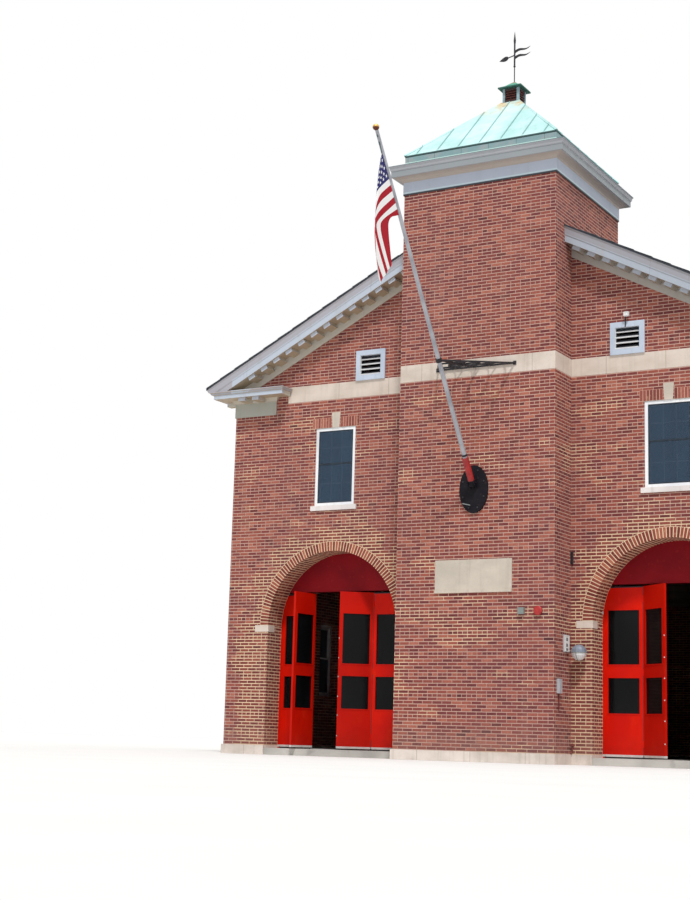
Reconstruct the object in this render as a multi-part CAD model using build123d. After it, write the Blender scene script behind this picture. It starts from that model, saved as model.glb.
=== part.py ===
from build123d import *
import os
from math import asin, atan2, cos, degrees, pi, radians, sin, sqrt, tan

# A two-bay fire station in red brick with limestone trim: a square tower stands in front of a
# gabled hall, with an arched doorway on each side of it.
# Millimetres. X runs along the front, Y runs into the building, Z is up.
# The origin lies on the ground, midway along the front, in the face of the gabled front wall.

# Tower and hall
tower_width = 3420
tower_projection = 836
tower_depth = 3485
tower_wall_thickness = 400
tower_rise = 82
hall_depth = 16000
front_wall_thickness = 550
outer_wall_thickness = 400

# Arched doorways
inner_pier_width = 442
outer_pier_width = 1036
arch_radius = 1558
arch_ring_depth = 207
arch_centre_height = 2739
arch_cover = 703
impost_height = 141
impost_nosing = 12
impost_width = 342
impost_depth = 250

# Base course and floors
plinth_height = 195
plinth_projection = 36
floor_top = 140
upper_floor_rise = 353
upper_floor_thickness = 250

# Sash windows
window_width = 980
window_height = 1702
window_sill_rise = 620
lower_window_sill_rise = 1200
window_setback = 15
window_frame_depth = 100
window_frame_width = 66
sash_setback = 28
sash_thickness = 36
sash_width = 40
meeting_rail_centre = 910
window_glass_thickness = 8
sill_height = 100
sill_projection = 40
sill_overrun = 70
keystone_height = 328
keystone_top_width = 215
keystone_bottom_width = 172
keystone_depth = 120
keystone_projection = 8
side_window_pitch = 4300
side_window_count = 3
rear_window_pitch = 5600
rear_window_count = 2

# String course
string_gap = 295
string_height = 355
string_depth = 120
string_overlap = 315

# Level cornice: frieze, bed moulding, corona and crown
frieze_height = 300
frieze_projection = 20
bed_height = 90
bed_projection = 80
corona_height = 85
corona_projection = 375
crown_height = 75
crown_lip = 18
return_projection = 420
return_length = 1044
return_drop = 40
crown_steps = 2

# Sloping cornice, measured down from the top of the slates
rake_crown_depth = 285
rake_corona_depth = 110
rake_frieze_depth = 205
rake_projection = 410

# Blocks under the cornices
modillion_pitch = 355
modillion_width = 170
modillion_height = 80
modillion_inset = 45

# Roof
roof_slope = 0.515
roof_side_overhang = 566
roof_end_overhang = 420
roof_edge_rise = 50
slate_thickness = 30
deck_thickness = 110
deck_overhang = 330

# Gable louvres
louvre_offset = 1175
louvre_width = 710
louvre_height = 655
louvre_frame_width = 108
louvre_depth = 150
louvre_projection = 30
louvre_slat_count = 4
louvre_slat_thickness = 18
louvre_slat_depth = 120
louvre_slat_angle = 40

# Folding doors
door_setback = 10
door_thickness = 50
door_post_width = 90
door_post_depth = 120
door_post_showing = 33
door_head_rise = 746
door_head_height = 115
door_bottom_gap = 30
outer_leaf_width = 788
inner_leaf_width = 730
nearer_leaf_angle = 38
farther_leaf_angle = 96
leaf_border = 78
leaf_gap = 4
leaf_top_gap = 45
kick_panel_height = 822
lower_pane_height = 678
middle_rail_height = 260
upper_pane_height = 1050
door_glass_thickness = 12
bead_width = 22
bead_projection = 7
weather_bar_height = 40
weather_bar_projection = 9
weather_bar_inset = 25
hinge_radius = 14
hinge_length = 130
hinge_sides = 6
hinge_heights = (420, 1780, 3200)
lunette_margin = 60

# Tower cornice and copper roof
tower_frieze_height = 290
tower_frieze_projection = 20
tower_cove_height = 80
tower_cove_projection = 200
tower_cove_steps = 4
tower_fascia_height = 125
tower_fascia_projection = 215
tower_crown_height = 105
tower_crown_projection = 262
copper_wash_height = 105
copper_band_height = 150
copper_eave_projection = 10
copper_eave_height = 25
copper_thickness = 60
pyramid_height = 1475
seam_pitch = 480
seam_width = 18
seam_height = 24
hip_roll_width = 44

# Vent on top of the copper roof
vent_width = 380
vent_height = 325
vent_post_width = 50
vent_slat_count = 4
vent_slat_thickness = 14
vent_slat_angle = 40
vent_slat_setback = 30
cap_half_width = 270
cap_edge_height = 30
cap_flare_height = 60
cap_flare_half_width = 150
cap_peak_height = 110
cap_peak_half_width = 24

# Weathervane
spindle_showing = 380
spindle_radius = 11
spindle_clearance = 0.05
spindle_collar_radius = 24
spindle_collar_height = 20
seat_clearance = 0.3
vane_sleeve_radius = 18
vane_sleeve_length = 500
spear_neck_height = 90
spear_height = 300
spear_radius = 26
spear_tip_radius = 2
vane_plate_thickness = 10
vane_pointer_reach = 460
vane_pointer_stem = 11
vane_pointer_half_height = 46
vane_leaf_start = 184
vane_leaf_fullness = 0.7
vane_steps = 8
vane_tail_reach = 470
vane_tail_half_width = 30
vane_tail_wave = 24
vane_tail_spread = 68
vane_heading = 20

# Plaque
plaque_half_width = 830
plaque_bottom = 3250
plaque_height = 650
plaque_depth = 60
plaque_projection = 12
plaque_ledge_height = 50
plaque_ledge_projection = 30

# Flagpole, its wall plate, brace and flag
plate_drop = 2305
plate_half_width = 310
plate_half_height = 480
plate_thickness = 40
plate_sides = 24
pole_foot_rise = 160
pole_foot_standoff = 150
pole_rise = 54.4
pole_length = 7140
pole_butt_radius = 50
pole_tip_radius = 32
pole_sides = 20
pole_ball_radius = 62
pole_ball_steps = 7
pole_sleeve_length = 500
pole_sleeve_wall = 15
shoe_radius = 70
shoe_length = 120
shoe_pin_radius = 18
cheek_thickness = 20
cheek_height = 260
brace_rise = 185
brace_drop = 230
brace_half_width = 850
brace_bar = 32
brace_scroll_bar = 16
brace_scroll_sides = 9
brace_collar_wall = 18
brace_foot_width = 64
brace_foot_height = 80
brace_first_share = 0.22
brace_second_share = 0.62
brace_small_scrolls = 4
flag_hoist = 1180
flag_top_gap = 440
flag_half_thickness = 70
flag_belly = 100
flag_belly_drop = 1650
flag_waist = 150
flag_waist_drop = 1356
flag_corner = 335
flag_corner_drop = 2020
flag_tip = 145
flag_tip_drop = 2410
flag_hem_drop = 2260

# Small fittings on the wall
lamp_radius = 150
lamp_steps = 8
lamp_hood_steps = 4
lamp_hood_margin = 6
lamp_offset = 245
lamp_height = 2115
lamp_standoff = 200
lamp_arm_width = 60
lamp_rose_width = 120
lamp_rose_thickness = 20
key_box_width = 265
key_box_length = 330
key_box_depth = 25
key_box_offset = 575
key_box_height = 2285
junction_box_width = 140
junction_box_length = 273
junction_box_depth = 60
junction_box_offset = 203
junction_box_height = 1460
bell_radius = 92
bell_depth = 70
bell_back_depth = 17
bell_rim_depth = 42
bell_shoulder_depth = 60
bell_back_radius = 46
bell_shoulder_radius = 74
bell_face_radius = 31
bell_x = 1385
bell_height = 2875
small_box = 126
small_box_depth = 70
small_box_x = 1042
small_box_height = 2875
turning_sides = 16

# Values that follow from the ones above
tower_half = tower_width / 2
tower_front = -tower_projection
tower_back = tower_front + tower_depth
tower_middle = (tower_front + tower_back) / 2
jamb_inner = tower_half + inner_pier_width
bay_centre = jamb_inner + arch_radius
jamb_outer = bay_centre + arch_radius
hall_half_width = jamb_outer + outer_pier_width
rear_inner = hall_depth - outer_wall_thickness
side_inner = hall_half_width - outer_wall_thickness
impost_bottom = arch_centre_height - impost_height
arch_top = arch_centre_height + arch_radius
arch_wall_top = arch_top + arch_cover
upper_floor_top = arch_top + upper_floor_rise
window_sill_top = upper_floor_top + window_sill_rise
lower_window_sill_top = floor_top + lower_window_sill_rise
string_bottom = window_sill_top + window_height + keystone_height + string_gap
string_top = string_bottom + string_height
return_top = string_top - return_drop
corona_top = return_top - crown_height
soffit_height = corona_top - corona_height
frieze_top = soffit_height - bed_height
frieze_bottom = frieze_top - frieze_height
return_inner_end = hall_half_width - return_length
string_end = return_inner_end - string_overlap
roof_edge = hall_half_width + roof_side_overhang
roof_edge_height = string_top + roof_edge_rise
ridge_height = roof_edge_height + roof_slope * roof_edge
slope_factor = sqrt(1 + roof_slope ** 2)
slate_drop = slate_thickness * slope_factor
deck_drop = (slate_thickness + deck_thickness) * slope_factor
wall_head = roof_edge_height + roof_slope * roof_side_overhang - deck_drop
rake_soffit = slate_thickness + rake_crown_depth
louvre_centre = tower_half + louvre_offset
door_face = front_wall_thickness + door_setback
door_bottom = floor_top + door_bottom_gap
door_head_bottom = arch_centre_height + door_head_rise
leaf_start = jamb_inner + door_post_showing
lower_pane_bottom = door_bottom + kick_panel_height
lower_pane_top = lower_pane_bottom + lower_pane_height
upper_pane_bottom = lower_pane_top + middle_rail_height
upper_pane_top = upper_pane_bottom + upper_pane_height
tower_wall_top = ridge_height + tower_rise
tower_fascia_top = tower_wall_top + tower_frieze_height + tower_cove_height + tower_fascia_height
tower_cornice_top = tower_fascia_top + tower_crown_height
band_bottom = tower_cornice_top + copper_wash_height
eave_bottom = band_bottom + copper_band_height
pyramid_bottom = eave_bottom + copper_eave_height
pyramid_top = pyramid_bottom + pyramid_height
vent_top = pyramid_top + vent_height
cap_top = vent_top + cap_edge_height + cap_flare_height + cap_peak_height
vane_sleeve_bottom = cap_top + spindle_showing
vane_sleeve_top = vane_sleeve_bottom + vane_sleeve_length
plate_centre_height = string_bottom - plate_drop
pole_foot_height = plate_centre_height + pole_foot_rise
brace_wall_height = string_bottom + brace_rise
brace_pole_distance = (brace_wall_height - brace_drop - pole_foot_height) / sin(radians(pole_rise))


def block(x0, x1, y0, y1, z0, z1):
    """A box between two corners."""
    return Pos((x0 + x1) / 2, (y0 + y1) / 2, (z0 + z1) / 2) * Box(abs(x1 - x0), abs(y1 - y0), abs(z1 - z0))


def across(points, x0, x1):
    """An outline in the YZ plane, drawn out from x0 to x1."""
    plane = Plane(origin=(x0, 0, 0), x_dir=(0, 1, 0), z_dir=(1, 0, 0))
    return extrude(plane * make_face(Polyline(*points, close=True)), x1 - x0)


def along(points, y0, y1):
    """An outline in the XZ plane, drawn out from y0 to y1."""
    plane = Plane(origin=(0, y1, 0), x_dir=(1, 0, 0), z_dir=(0, -1, 0))
    return extrude(plane * make_face(Polyline(*points, close=True)), y1 - y0)


def disc_along(x, z, radius, y0, y1):
    """A round bar parallel to Y."""
    plane = Plane(origin=(x, y1, z), x_dir=(1, 0, 0), z_dir=(0, -1, 0))
    return extrude(plane * Circle(radius), y1 - y0)


def turned(plane, outline, sides):
    """A many-sided turning along a plane's normal, from its outline of distances and radii."""
    turns = [2 * pi * i / sides for i in range(sides)]
    rings = [[plane.from_local_coords(Vector(radius * cos(turn), radius * sin(turn), distance)) for turn in turns]
             for distance, radius in outline]
    faces = [Face(Wire.make_polygon(rings[0])), Face(Wire.make_polygon(rings[-1]))]
    for near, far in zip(rings, rings[1:]):
        for i in range(sides):
            faces.append(Face(Wire.make_polygon([near[i - 1], near[i], far[i], far[i - 1]])))
    return Part() + Solid(Shell(faces))


def ball_outline(radius, seat_radius, steps):
    """Outline of a ball that stands on a round seat, from the seat to just short of its pole."""
    first = asin(seat_radius / radius)
    angles = [first + (pi - 2 * first) * i / steps for i in range(steps + 1)]
    return [(radius * (cos(first) - cos(angle)), radius * sin(angle)) for angle in angles]


def other_side(shape):
    """The mirror image across the middle of the front."""
    return mirror(shape, about=Plane.YZ)


def other_end(shape):
    """The mirror image across the middle of the hall's depth."""
    return mirror(shape, about=Plane(origin=(0, hall_depth / 2, 0), x_dir=(1, 0, 0), z_dir=(0, 1, 0)))


def other_jamb(shape):
    """The mirror image across the middle of the right-hand bay."""
    return mirror(shape, about=Plane(origin=(bay_centre, 0, 0), x_dir=(0, 1, 0), z_dir=(1, 0, 0)))


def both_sides(shape):
    return [shape, other_side(shape)]


def spaced(start, end, pitch):
    """Centres of what stands at an even pitch, midway between two ends."""
    count = int((end - start) / pitch)
    first = (start + end - pitch * (count - 1)) / 2
    return [first + pitch * i for i in range(count)]


def roof_top(x):
    """Height of the slates above a place on the front."""
    return ridge_height - roof_slope * abs(x)


def floor_slab():
    hall = block(-side_inner, side_inner, front_wall_thickness, rear_inner, 0, floor_top)
    sills = [block(side * jamb_inner, side * jamb_outer, 0, front_wall_thickness, 0, floor_top) for side in (-1, 1)]
    shaft = block(-tower_half, tower_half, tower_front, tower_back, 0, floor_top)
    inside = block(*tower_hollow(), 0, floor_top)
    return [hall + sills - shaft, inside]


def tower_hollow():
    half = tower_half - tower_wall_thickness
    return -half, half, tower_front + tower_wall_thickness, tower_back - tower_wall_thickness


def upper_floor():
    bottom = upper_floor_top - upper_floor_thickness
    slab = block(-side_inner, side_inner, front_wall_thickness, rear_inner, bottom, upper_floor_top)
    return slab - block(-tower_half, tower_half, tower_front, tower_back, bottom, upper_floor_top)


def plinth_tower():
    out = plinth_projection
    front = block(-tower_half - out, tower_half + out, tower_front - out,
                  tower_front + tower_wall_thickness, 0, plinth_height)
    side = block(tower_half - tower_wall_thickness, tower_half + out, tower_front + tower_wall_thickness,
                 -out, 0, plinth_height)
    return front + both_sides(side)


def plinth_wings():
    inner = block(tower_half, jamb_inner, -plinth_projection, front_wall_thickness, 0, plinth_height)
    outer = block(jamb_outer, hall_half_width + plinth_projection, -plinth_projection,
                  front_wall_thickness, 0, plinth_height)
    return both_sides(inner) + both_sides(outer)


def plinth_sides():
    return both_sides(block(side_inner, hall_half_width + plinth_projection, front_wall_thickness,
                            rear_inner, 0, plinth_height))


def plinth_rear():
    reach = hall_half_width + plinth_projection
    return block(-reach, reach, rear_inner, hall_depth + plinth_projection, 0, plinth_height)


def tower_side_wall():
    x0, x1, y0, y1 = tower_hollow()
    wall = block(x1, tower_half, y0, y1, plinth_height, tower_wall_top)
    foot = block(x1, tower_half, -plinth_projection, y1, 0, plinth_height)
    return wall + foot - string_course()


def tower_front_wall():
    y1 = tower_front + tower_wall_thickness
    wall = block(-tower_half, tower_half, tower_front, y1, plinth_height, tower_wall_top)
    return wall - string_course() - plaque()


def tower_rear_wall():
    return block(-tower_half, tower_half, tower_back - tower_wall_thickness, tower_back, 0, tower_wall_top)


def bay_piers():
    inner = block(tower_half, jamb_inner, 0, front_wall_thickness, plinth_height, arch_centre_height)
    outer = block(jamb_outer, hall_half_width, 0, front_wall_thickness, plinth_height, arch_centre_height)
    return [pier - impost for pier, impost in zip(both_sides(inner) + both_sides(outer), impost_blocks())]


def impost_blocks():
    x1 = jamb_inner + impost_nosing
    inner = block(x1 - impost_width, x1, 0, impost_depth, impost_bottom, arch_centre_height)
    return both_sides(inner) + both_sides(other_jamb(inner))


def arch_disc(radius):
    return disc_along(bay_centre, arch_centre_height, radius, 0, front_wall_thickness)


def arch_wall():
    """The brickwork beside and over one arch."""
    wall = block(tower_half, hall_half_width, 0, front_wall_thickness, arch_centre_height, arch_wall_top)
    return wall - arch_disc(arch_radius + arch_ring_depth)


def arch_ring():
    reach = arch_radius + arch_ring_depth
    ring = arch_disc(reach) - arch_disc(arch_radius)
    return ring & block(bay_centre - reach, bay_centre + reach, 0, front_wall_thickness,
                        arch_centre_height, arch_centre_height + reach)


def front_wall():
    """The upper wall of one wing, up to the slope of the roof."""
    outline = [(tower_half, arch_wall_top), (hall_half_width, arch_wall_top), (hall_half_width, wall_head),
               (tower_half, wall_head + roof_slope * (hall_half_width - tower_half))]
    wall = along(outline, 0, front_wall_thickness)
    hole = block(louvre_centre - louvre_width / 2, louvre_centre + louvre_width / 2, 0, front_wall_thickness,
                 string_top, string_top + louvre_height)
    return wall - string_course() - hole - window_cut(front_window_place())


def side_wall():
    outline = [(side_inner, plinth_height), (hall_half_width, plinth_height), (hall_half_width, wall_head),
               (side_inner, wall_head + roof_slope * outer_wall_thickness)]
    wall = along(outline, front_wall_thickness, rear_inner)
    for place in side_window_places():
        wall -= window_cut(place)
    return wall


def rear_wall():
    outline = [(-hall_half_width, plinth_height), (hall_half_width, plinth_height), (hall_half_width, wall_head),
               (0, wall_head + roof_slope * hall_half_width), (-hall_half_width, wall_head)]
    wall = along(outline, rear_inner, hall_depth)
    for place in rear_window_places():
        wall -= window_cut(place)
    return wall


def string_course():
    """Limestone band, set flush in the wings and round the tower's front and sides."""
    wing = block(tower_half, string_end, 0, string_depth, string_bottom, string_top)
    flank = block(tower_half - string_depth, tower_half, tower_front, string_depth, string_bottom, string_top)
    front = block(-tower_half, tower_half, tower_front, tower_front + string_depth, string_bottom, string_top)
    return front + both_sides(flank) + both_sides(wing)


def front_window_place():
    return Location((bay_centre, 0, window_sill_top))


def side_window_places():
    """Where windows stand on the right-hand side wall: the bottom middle of each, facing +X."""
    middle = (front_wall_thickness + rear_inner) / 2
    first = middle - side_window_pitch * (side_window_count - 1) / 2
    return [Location((hall_half_width, first + side_window_pitch * i, height), (0, 0, 90))
            for height in (window_sill_top, lower_window_sill_top) for i in range(side_window_count)]


def rear_window_places():
    first = -rear_window_pitch * (rear_window_count - 1) / 2
    return [Location((first + rear_window_pitch * i, hall_depth, height), (0, 0, 180))
            for height in (window_sill_top, lower_window_sill_top) for i in range(rear_window_count)]


def window_places():
    front = [front_window_place(), Location((-bay_centre, 0, window_sill_top))]
    right = side_window_places()
    left = [Location((-hall_half_width, place.position.Y, place.position.Z), (0, 0, -90)) for place in right]
    return front + right + left + rear_window_places()


def window_cut(place):
    """The hole, sill bed and keystone bed of one window, for its wall."""
    deepest = max(front_wall_thickness, outer_wall_thickness)
    hole = block(-window_width / 2, window_width / 2, 0, deepest, 0, window_height)
    return place * (hole + sill() + keystone())


def sill():
    reach = window_width / 2 + sill_overrun
    return block(-reach, reach, -sill_projection, window_setback + window_frame_depth, -sill_height, 0)


def keystone():
    bottom = keystone_bottom_width / 2
    top = keystone_top_width / 2
    outline = [(-bottom, window_height), (bottom, window_height), (top, window_height + keystone_height),
               (-top, window_height + keystone_height)]
    return along(outline, -keystone_projection, keystone_depth)


def sashes():
    """The upper sash and, one thickness further in, the lower one: front, bottom and top of each."""
    front = window_setback + sash_setback
    overlap = sash_width / 2
    return [(front, meeting_rail_centre - overlap, window_height - window_frame_width),
            (front + sash_thickness, window_frame_width, meeting_rail_centre + overlap)]


def sash_opening(bottom, top, y0, y1):
    half = window_width / 2 - window_frame_width - sash_width
    return block(-half, half, y0, y1, bottom + sash_width, top - sash_width)


def window_frame():
    """The box frame with its two sashes, which meet at the rail."""
    half = window_width / 2
    inner = half - window_frame_width
    y1 = window_setback + window_frame_depth
    frame = block(-half, half, window_setback, y1, 0, window_height)
    frame -= block(-inner, inner, window_setback, y1, window_frame_width, window_height - window_frame_width)
    for y0, bottom, top in sashes():
        sash = block(-inner, inner, y0, y0 + sash_thickness, bottom, top)
        frame += sash - sash_opening(bottom, top, y0, y0 + sash_thickness)
    return frame


def window_panes():
    panes = []
    for y0, bottom, top in sashes():
        middle = y0 + sash_thickness / 2
        panes.append(sash_opening(bottom, top, middle, middle + window_glass_thickness))
    return panes


def gable_louvre():
    half = louvre_width / 2
    inner = half - louvre_frame_width
    bottom = string_top
    top = bottom + louvre_height
    frame = block(-half, half, -louvre_projection, louvre_depth, bottom, top)
    frame -= block(-inner, inner, -louvre_projection, louvre_depth, bottom + louvre_frame_width,
                   top - louvre_frame_width)
    spacing = (louvre_height - 2 * louvre_frame_width) / louvre_slat_count
    middle = (louvre_depth - louvre_projection) / 2
    for i in range(louvre_slat_count):
        z = bottom + louvre_frame_width + spacing * (i + 1 / 2)
        slat = Box(2 * inner, louvre_slat_depth, louvre_slat_thickness)
        frame += Pos(0, middle, z) * Rot(louvre_slat_angle, 0, 0) * slat
    return Pos(louvre_centre, 0, 0) * frame


def plaque():
    stone = block(-plaque_half_width, plaque_half_width, tower_front - plaque_projection,
                  tower_front + plaque_depth, plaque_bottom, plaque_bottom + plaque_height)
    ledge = block(-plaque_half_width, plaque_half_width, tower_front - plaque_ledge_projection,
                  tower_front, plaque_bottom, plaque_bottom + plaque_ledge_height)
    return stone + ledge


def roof_slope_solid():
    """One slope of slates on their deck, cut round the tower."""
    def layer(upper, lower, reach, overhang):
        outline = [(0, ridge_height - upper), (reach, roof_top(reach) - upper),
                   (reach, roof_top(reach) - lower), (0, ridge_height - lower)]
        return along(outline, -overhang, hall_depth + overhang)
    slates = layer(0, slate_drop, roof_edge, roof_end_overhang)
    deck = layer(slate_drop, deck_drop, hall_half_width + deck_overhang, deck_overhang)
    shaft = block(-tower_half, tower_half, -2 * roof_end_overhang, tower_back, 0, ridge_height)
    return slates + deck - shaft


def crown_curve(foot, lip):
    """An S-shaped crown moulding: it bulges at its foot and hollows towards its lip."""
    (x0, z0), (x1, z1) = foot, lip
    half_out = (x1 - x0) / 2
    half_up = (z1 - z0) / 2
    angles = [radians(90 * i / crown_steps) for i in range(crown_steps + 1)]
    bulge = [(x0 + half_out * sin(angle), z0 + half_up * (1 - cos(angle))) for angle in angles]
    hollow = [(x1 - half_out * cos(angle), z0 + half_up * (1 + sin(angle))) for angle in angles]
    return bulge + hollow[1:]


def cornice_profile(reach, lip):
    """Frieze, bed moulding, corona and crown up to its lip, as distance out from the wall and height."""
    return [(0, frieze_bottom), (frieze_projection, frieze_bottom), (frieze_projection, frieze_top),
            (bed_projection, soffit_height), (corona_projection, soffit_height)
            ] + crown_curve((corona_projection, corona_top), (reach, lip))


def return_profile():
    profile = cornice_profile(return_projection, return_top - crown_lip)
    return profile + [(return_projection, return_top), (0, return_top)]


def eave_profile():
    """The side cornice, which also closes up under the slates and the deck."""
    reach = roof_side_overhang - crown_lip

    def at(distance, drop):
        return distance, roof_top(hall_half_width + distance) - drop
    return cornice_profile(reach, string_top - crown_lip) + [
        at(reach, slate_drop), at(deck_overhang, slate_drop), at(deck_overhang, deck_drop), at(0, deck_drop)]


def modillion():
    """One block, as its reach out from the wall and its height under a soffit at zero."""
    depth = corona_projection - modillion_inset - frieze_projection
    return depth, frieze_projection + depth / 2


def cornice_return():
    """The level cornice that turns the front corner and stops on the wing."""
    def outward(points):
        return [(-distance, height) for distance, height in points]
    front = outward(return_profile())
    run = across(front, return_inner_end, hall_half_width)
    inner_end = along([(return_inner_end - d, z) for d, z in return_profile()], -return_projection, 0)
    inner_end = inner_end & across(front, return_inner_end - return_projection, return_inner_end)
    corner = along([(hall_half_width + d, z) for d, z in eave_profile()], -return_projection, 0)
    corner = corner & across(front, hall_half_width, roof_edge)
    depth, middle = modillion()
    blocks = [Pos(x, -middle, soffit_height - modillion_height / 2) * Box(modillion_width, depth, modillion_height)
              for x in spaced(return_inner_end, hall_half_width, modillion_pitch)]
    return run + inner_end + corner + blocks


def eave_cornice():
    """The cornice of the right-hand eave, with the returns at both of its ends."""
    run = along([(hall_half_width + d, z) for d, z in eave_profile()], 0, hall_depth)
    depth, middle = modillion()
    x = hall_half_width + middle
    blocks = [Pos(x, y, soffit_height - modillion_height / 2) * Box(depth, modillion_width, modillion_height)
              for y in spaced(0, hall_depth, modillion_pitch)]
    level = cornice_return()
    return run + blocks + level + other_end(level)


def rake_profile():
    """The sloping cornice, as distance out from the wall and height above the slates' top."""
    under = -slate_thickness - deck_thickness
    crown = crown_curve((corona_projection, rake_corona_depth - rake_soffit),
                        (rake_projection, -slate_thickness - crown_lip))
    frieze_foot = -rake_soffit - rake_frieze_depth
    return [(0, under), (deck_overhang, under), (deck_overhang, -slate_thickness),
            (rake_projection, -slate_thickness)] + crown[::-1] + [
            (corona_projection, -rake_soffit), (frieze_projection, -rake_soffit), (frieze_projection, frieze_foot),
            (0, frieze_foot)]


def rake_cornice(inner):
    """The sloping cornice of the right-hand wing, from the roof's edge up to the given place."""
    run = Vector(-1, 0, roof_slope).normalized()
    plane = Plane(origin=(roof_edge, 0, roof_edge_height), x_dir=(0, -1, 0), z_dir=run)
    length = roof_edge * slope_factor + rake_projection
    bar = extrude(plane * make_face(Polyline(*rake_profile(), close=True)), length)
    bar = bar & block(inner, roof_edge - crown_lip, -roof_end_overhang, 0, return_top, ridge_height)
    depth, middle = modillion()
    clear = return_top + (rake_soffit + modillion_height) * slope_factor
    first = (roof_edge_height + roof_slope * roof_edge - clear) / roof_slope
    start = (roof_edge - first) * slope_factor
    end = (roof_edge - inner - modillion_width / 2) * slope_factor
    blocks = [plane * Pos(middle, -rake_soffit - modillion_height / 2, distance)
              * Box(depth, modillion_height, modillion_width) for distance in spaced(start, end, modillion_pitch)]
    return bar + blocks


def rake_cornices():
    front = rake_cornice(tower_half)
    rear = other_end(rake_cornice(0))
    return both_sides(front) + [rear + other_side(rear)]


def square_solid(profile, half_width, half_depth):
    """A solid about the tower's middle whose outline, outwards from a plan, is the given profile."""
    def doubled(half, centre):
        right = [(centre + half + out, z) for out, z in profile]
        left = [(centre - half - out, z) for out, z in reversed(profile)]
        return right + left
    reach = tower_depth + tower_width
    wide = along(doubled(half_width, 0), tower_middle - reach, tower_middle + reach)
    deep = across(doubled(half_depth, tower_middle), -reach, reach)
    return wide & deep


def tower_solid(profile):
    """A solid whose outline, outwards from the tower's wall faces, is the given profile."""
    return square_solid(profile, tower_half, tower_depth / 2)


def tower_cornice():
    """A plain frieze, a hollow cove, a fascia and a crown round the top of the brickwork."""
    cove_bottom = tower_wall_top + tower_frieze_height
    cove_top = cove_bottom + tower_cove_height
    hollow = tower_cove_projection - tower_frieze_projection
    angles = [radians(90 * i / tower_cove_steps) for i in range(tower_cove_steps + 1)]
    cove = [(tower_cove_projection - hollow * cos(angle), cove_bottom + tower_cove_height * sin(angle))
            for angle in angles]
    crown = crown_curve((tower_fascia_projection, tower_fascia_top),
                        (tower_crown_projection, tower_cornice_top - crown_lip))
    foot = (tower_frieze_projection, tower_wall_top)
    lip = (tower_crown_projection, tower_cornice_top)
    profile = [foot] + cove + [(tower_fascia_projection, cove_top)] + crown + [lip]
    return tower_solid(profile) - block(*tower_hollow(), tower_wall_top, tower_cornice_top)


def pyramid_side(lift):
    """The roof's outline from its eave to the vent, raised by a little."""
    return [(copper_eave_projection, pyramid_bottom), (copper_eave_projection, pyramid_bottom + lift),
            (vent_width / 2 - tower_half, pyramid_top + lift)]


def seams():
    """Standing seams that run up each side of the roof to its hips."""
    raised = tower_solid(pyramid_side(seam_height))
    half = seam_width / 2
    reach_x = tower_half + copper_eave_projection
    reach_y = tower_depth / 2 + copper_eave_projection
    ratio = reach_y / reach_x
    bars = []
    for x in spaced(-reach_x, reach_x, seam_pitch):
        for end in (-1, 1):
            hip = tower_middle + end * abs(x) * ratio
            bars.append(block(x - half, x + half, tower_middle + end * reach_y, hip, pyramid_bottom, pyramid_top))
    for y in spaced(-reach_y, reach_y, seam_pitch):
        for side in (-1, 1):
            bars.append(block(side * abs(y) / ratio, side * reach_x, tower_middle + y - half,
                              tower_middle + y + half, pyramid_bottom, pyramid_top))
    return [raised & bar for bar in bars]


def hip_rolls():
    """Square rolls over the four hips, one edge uppermost."""
    rolls = []
    for side in (-1, 1):
        for end in (-1, 1):
            top = Vector(side * vent_width / 2, tower_middle + end * vent_width / 2, pyramid_top)
            corner = Vector(side * (tower_half + copper_eave_projection),
                            tower_middle + end * (tower_depth / 2 + copper_eave_projection), pyramid_bottom)
            way = corner - top
            plane = Plane(origin=top, x_dir=(-way.Y, way.X, 0), z_dir=way.normalized())
            rolls.append(extrude(plane * Rot(0, 0, 45) * Rectangle(hip_roll_width, hip_roll_width), way.length))
    return rolls


def tower_roof():
    """Copper: a sloping wash over the cornice, an upright band, and a hollow pyramid with its seams."""
    outside = tower_solid([(tower_crown_projection, tower_cornice_top), (0, band_bottom), (0, eave_bottom),
                           (copper_eave_projection, eave_bottom)] + pyramid_side(0)[1:])
    inner = -tower_wall_thickness
    peak = pyramid_top - 2 * copper_thickness
    inner_eave = pyramid_bottom - copper_thickness + tower_wall_thickness
    inside = tower_solid([(inner, tower_cornice_top), (inner, inner_eave), (vent_width / 2 - tower_half, peak)])
    return outside + seams() + hip_rolls() - inside


def roof_vent():
    half = vent_width / 2
    post = vent_post_width
    body = block(-half, half, -half, half, pyramid_top, pyramid_top + post)
    body += block(-half, half, -half, half, vent_top - post, vent_top)
    for x in (-1, 1):
        for y in (-1, 1):
            body += block(x * half, x * (half - post), y * half, y * (half - post), pyramid_top, vent_top)
    spacing = (vent_height - 2 * post) / vent_slat_count
    slat = Rot(vent_slat_angle, 0, 0) * Box(vent_width - post, post, vent_slat_thickness)
    for turn in range(4):
        for i in range(vent_slat_count):
            z = pyramid_top + post + spacing * (i + 1 / 2)
            body += Rot(0, 0, 90 * turn) * Pos(0, vent_slat_setback - half, z) * slat
    return Pos(0, tower_middle, 0) * body


def vent_cap():
    """A flared cap in four slopes, bored for the spindle."""
    edge_top = vent_top + cap_edge_height
    body = square_solid([(cap_half_width, vent_top), (cap_half_width, edge_top),
                         (cap_flare_half_width, edge_top + cap_flare_height), (cap_peak_half_width, cap_top)], 0, 0)
    bore = Cylinder(spindle_radius, 2 * cap_peak_height)
    return body - Pos(0, tower_middle, cap_top) * bore


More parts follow.
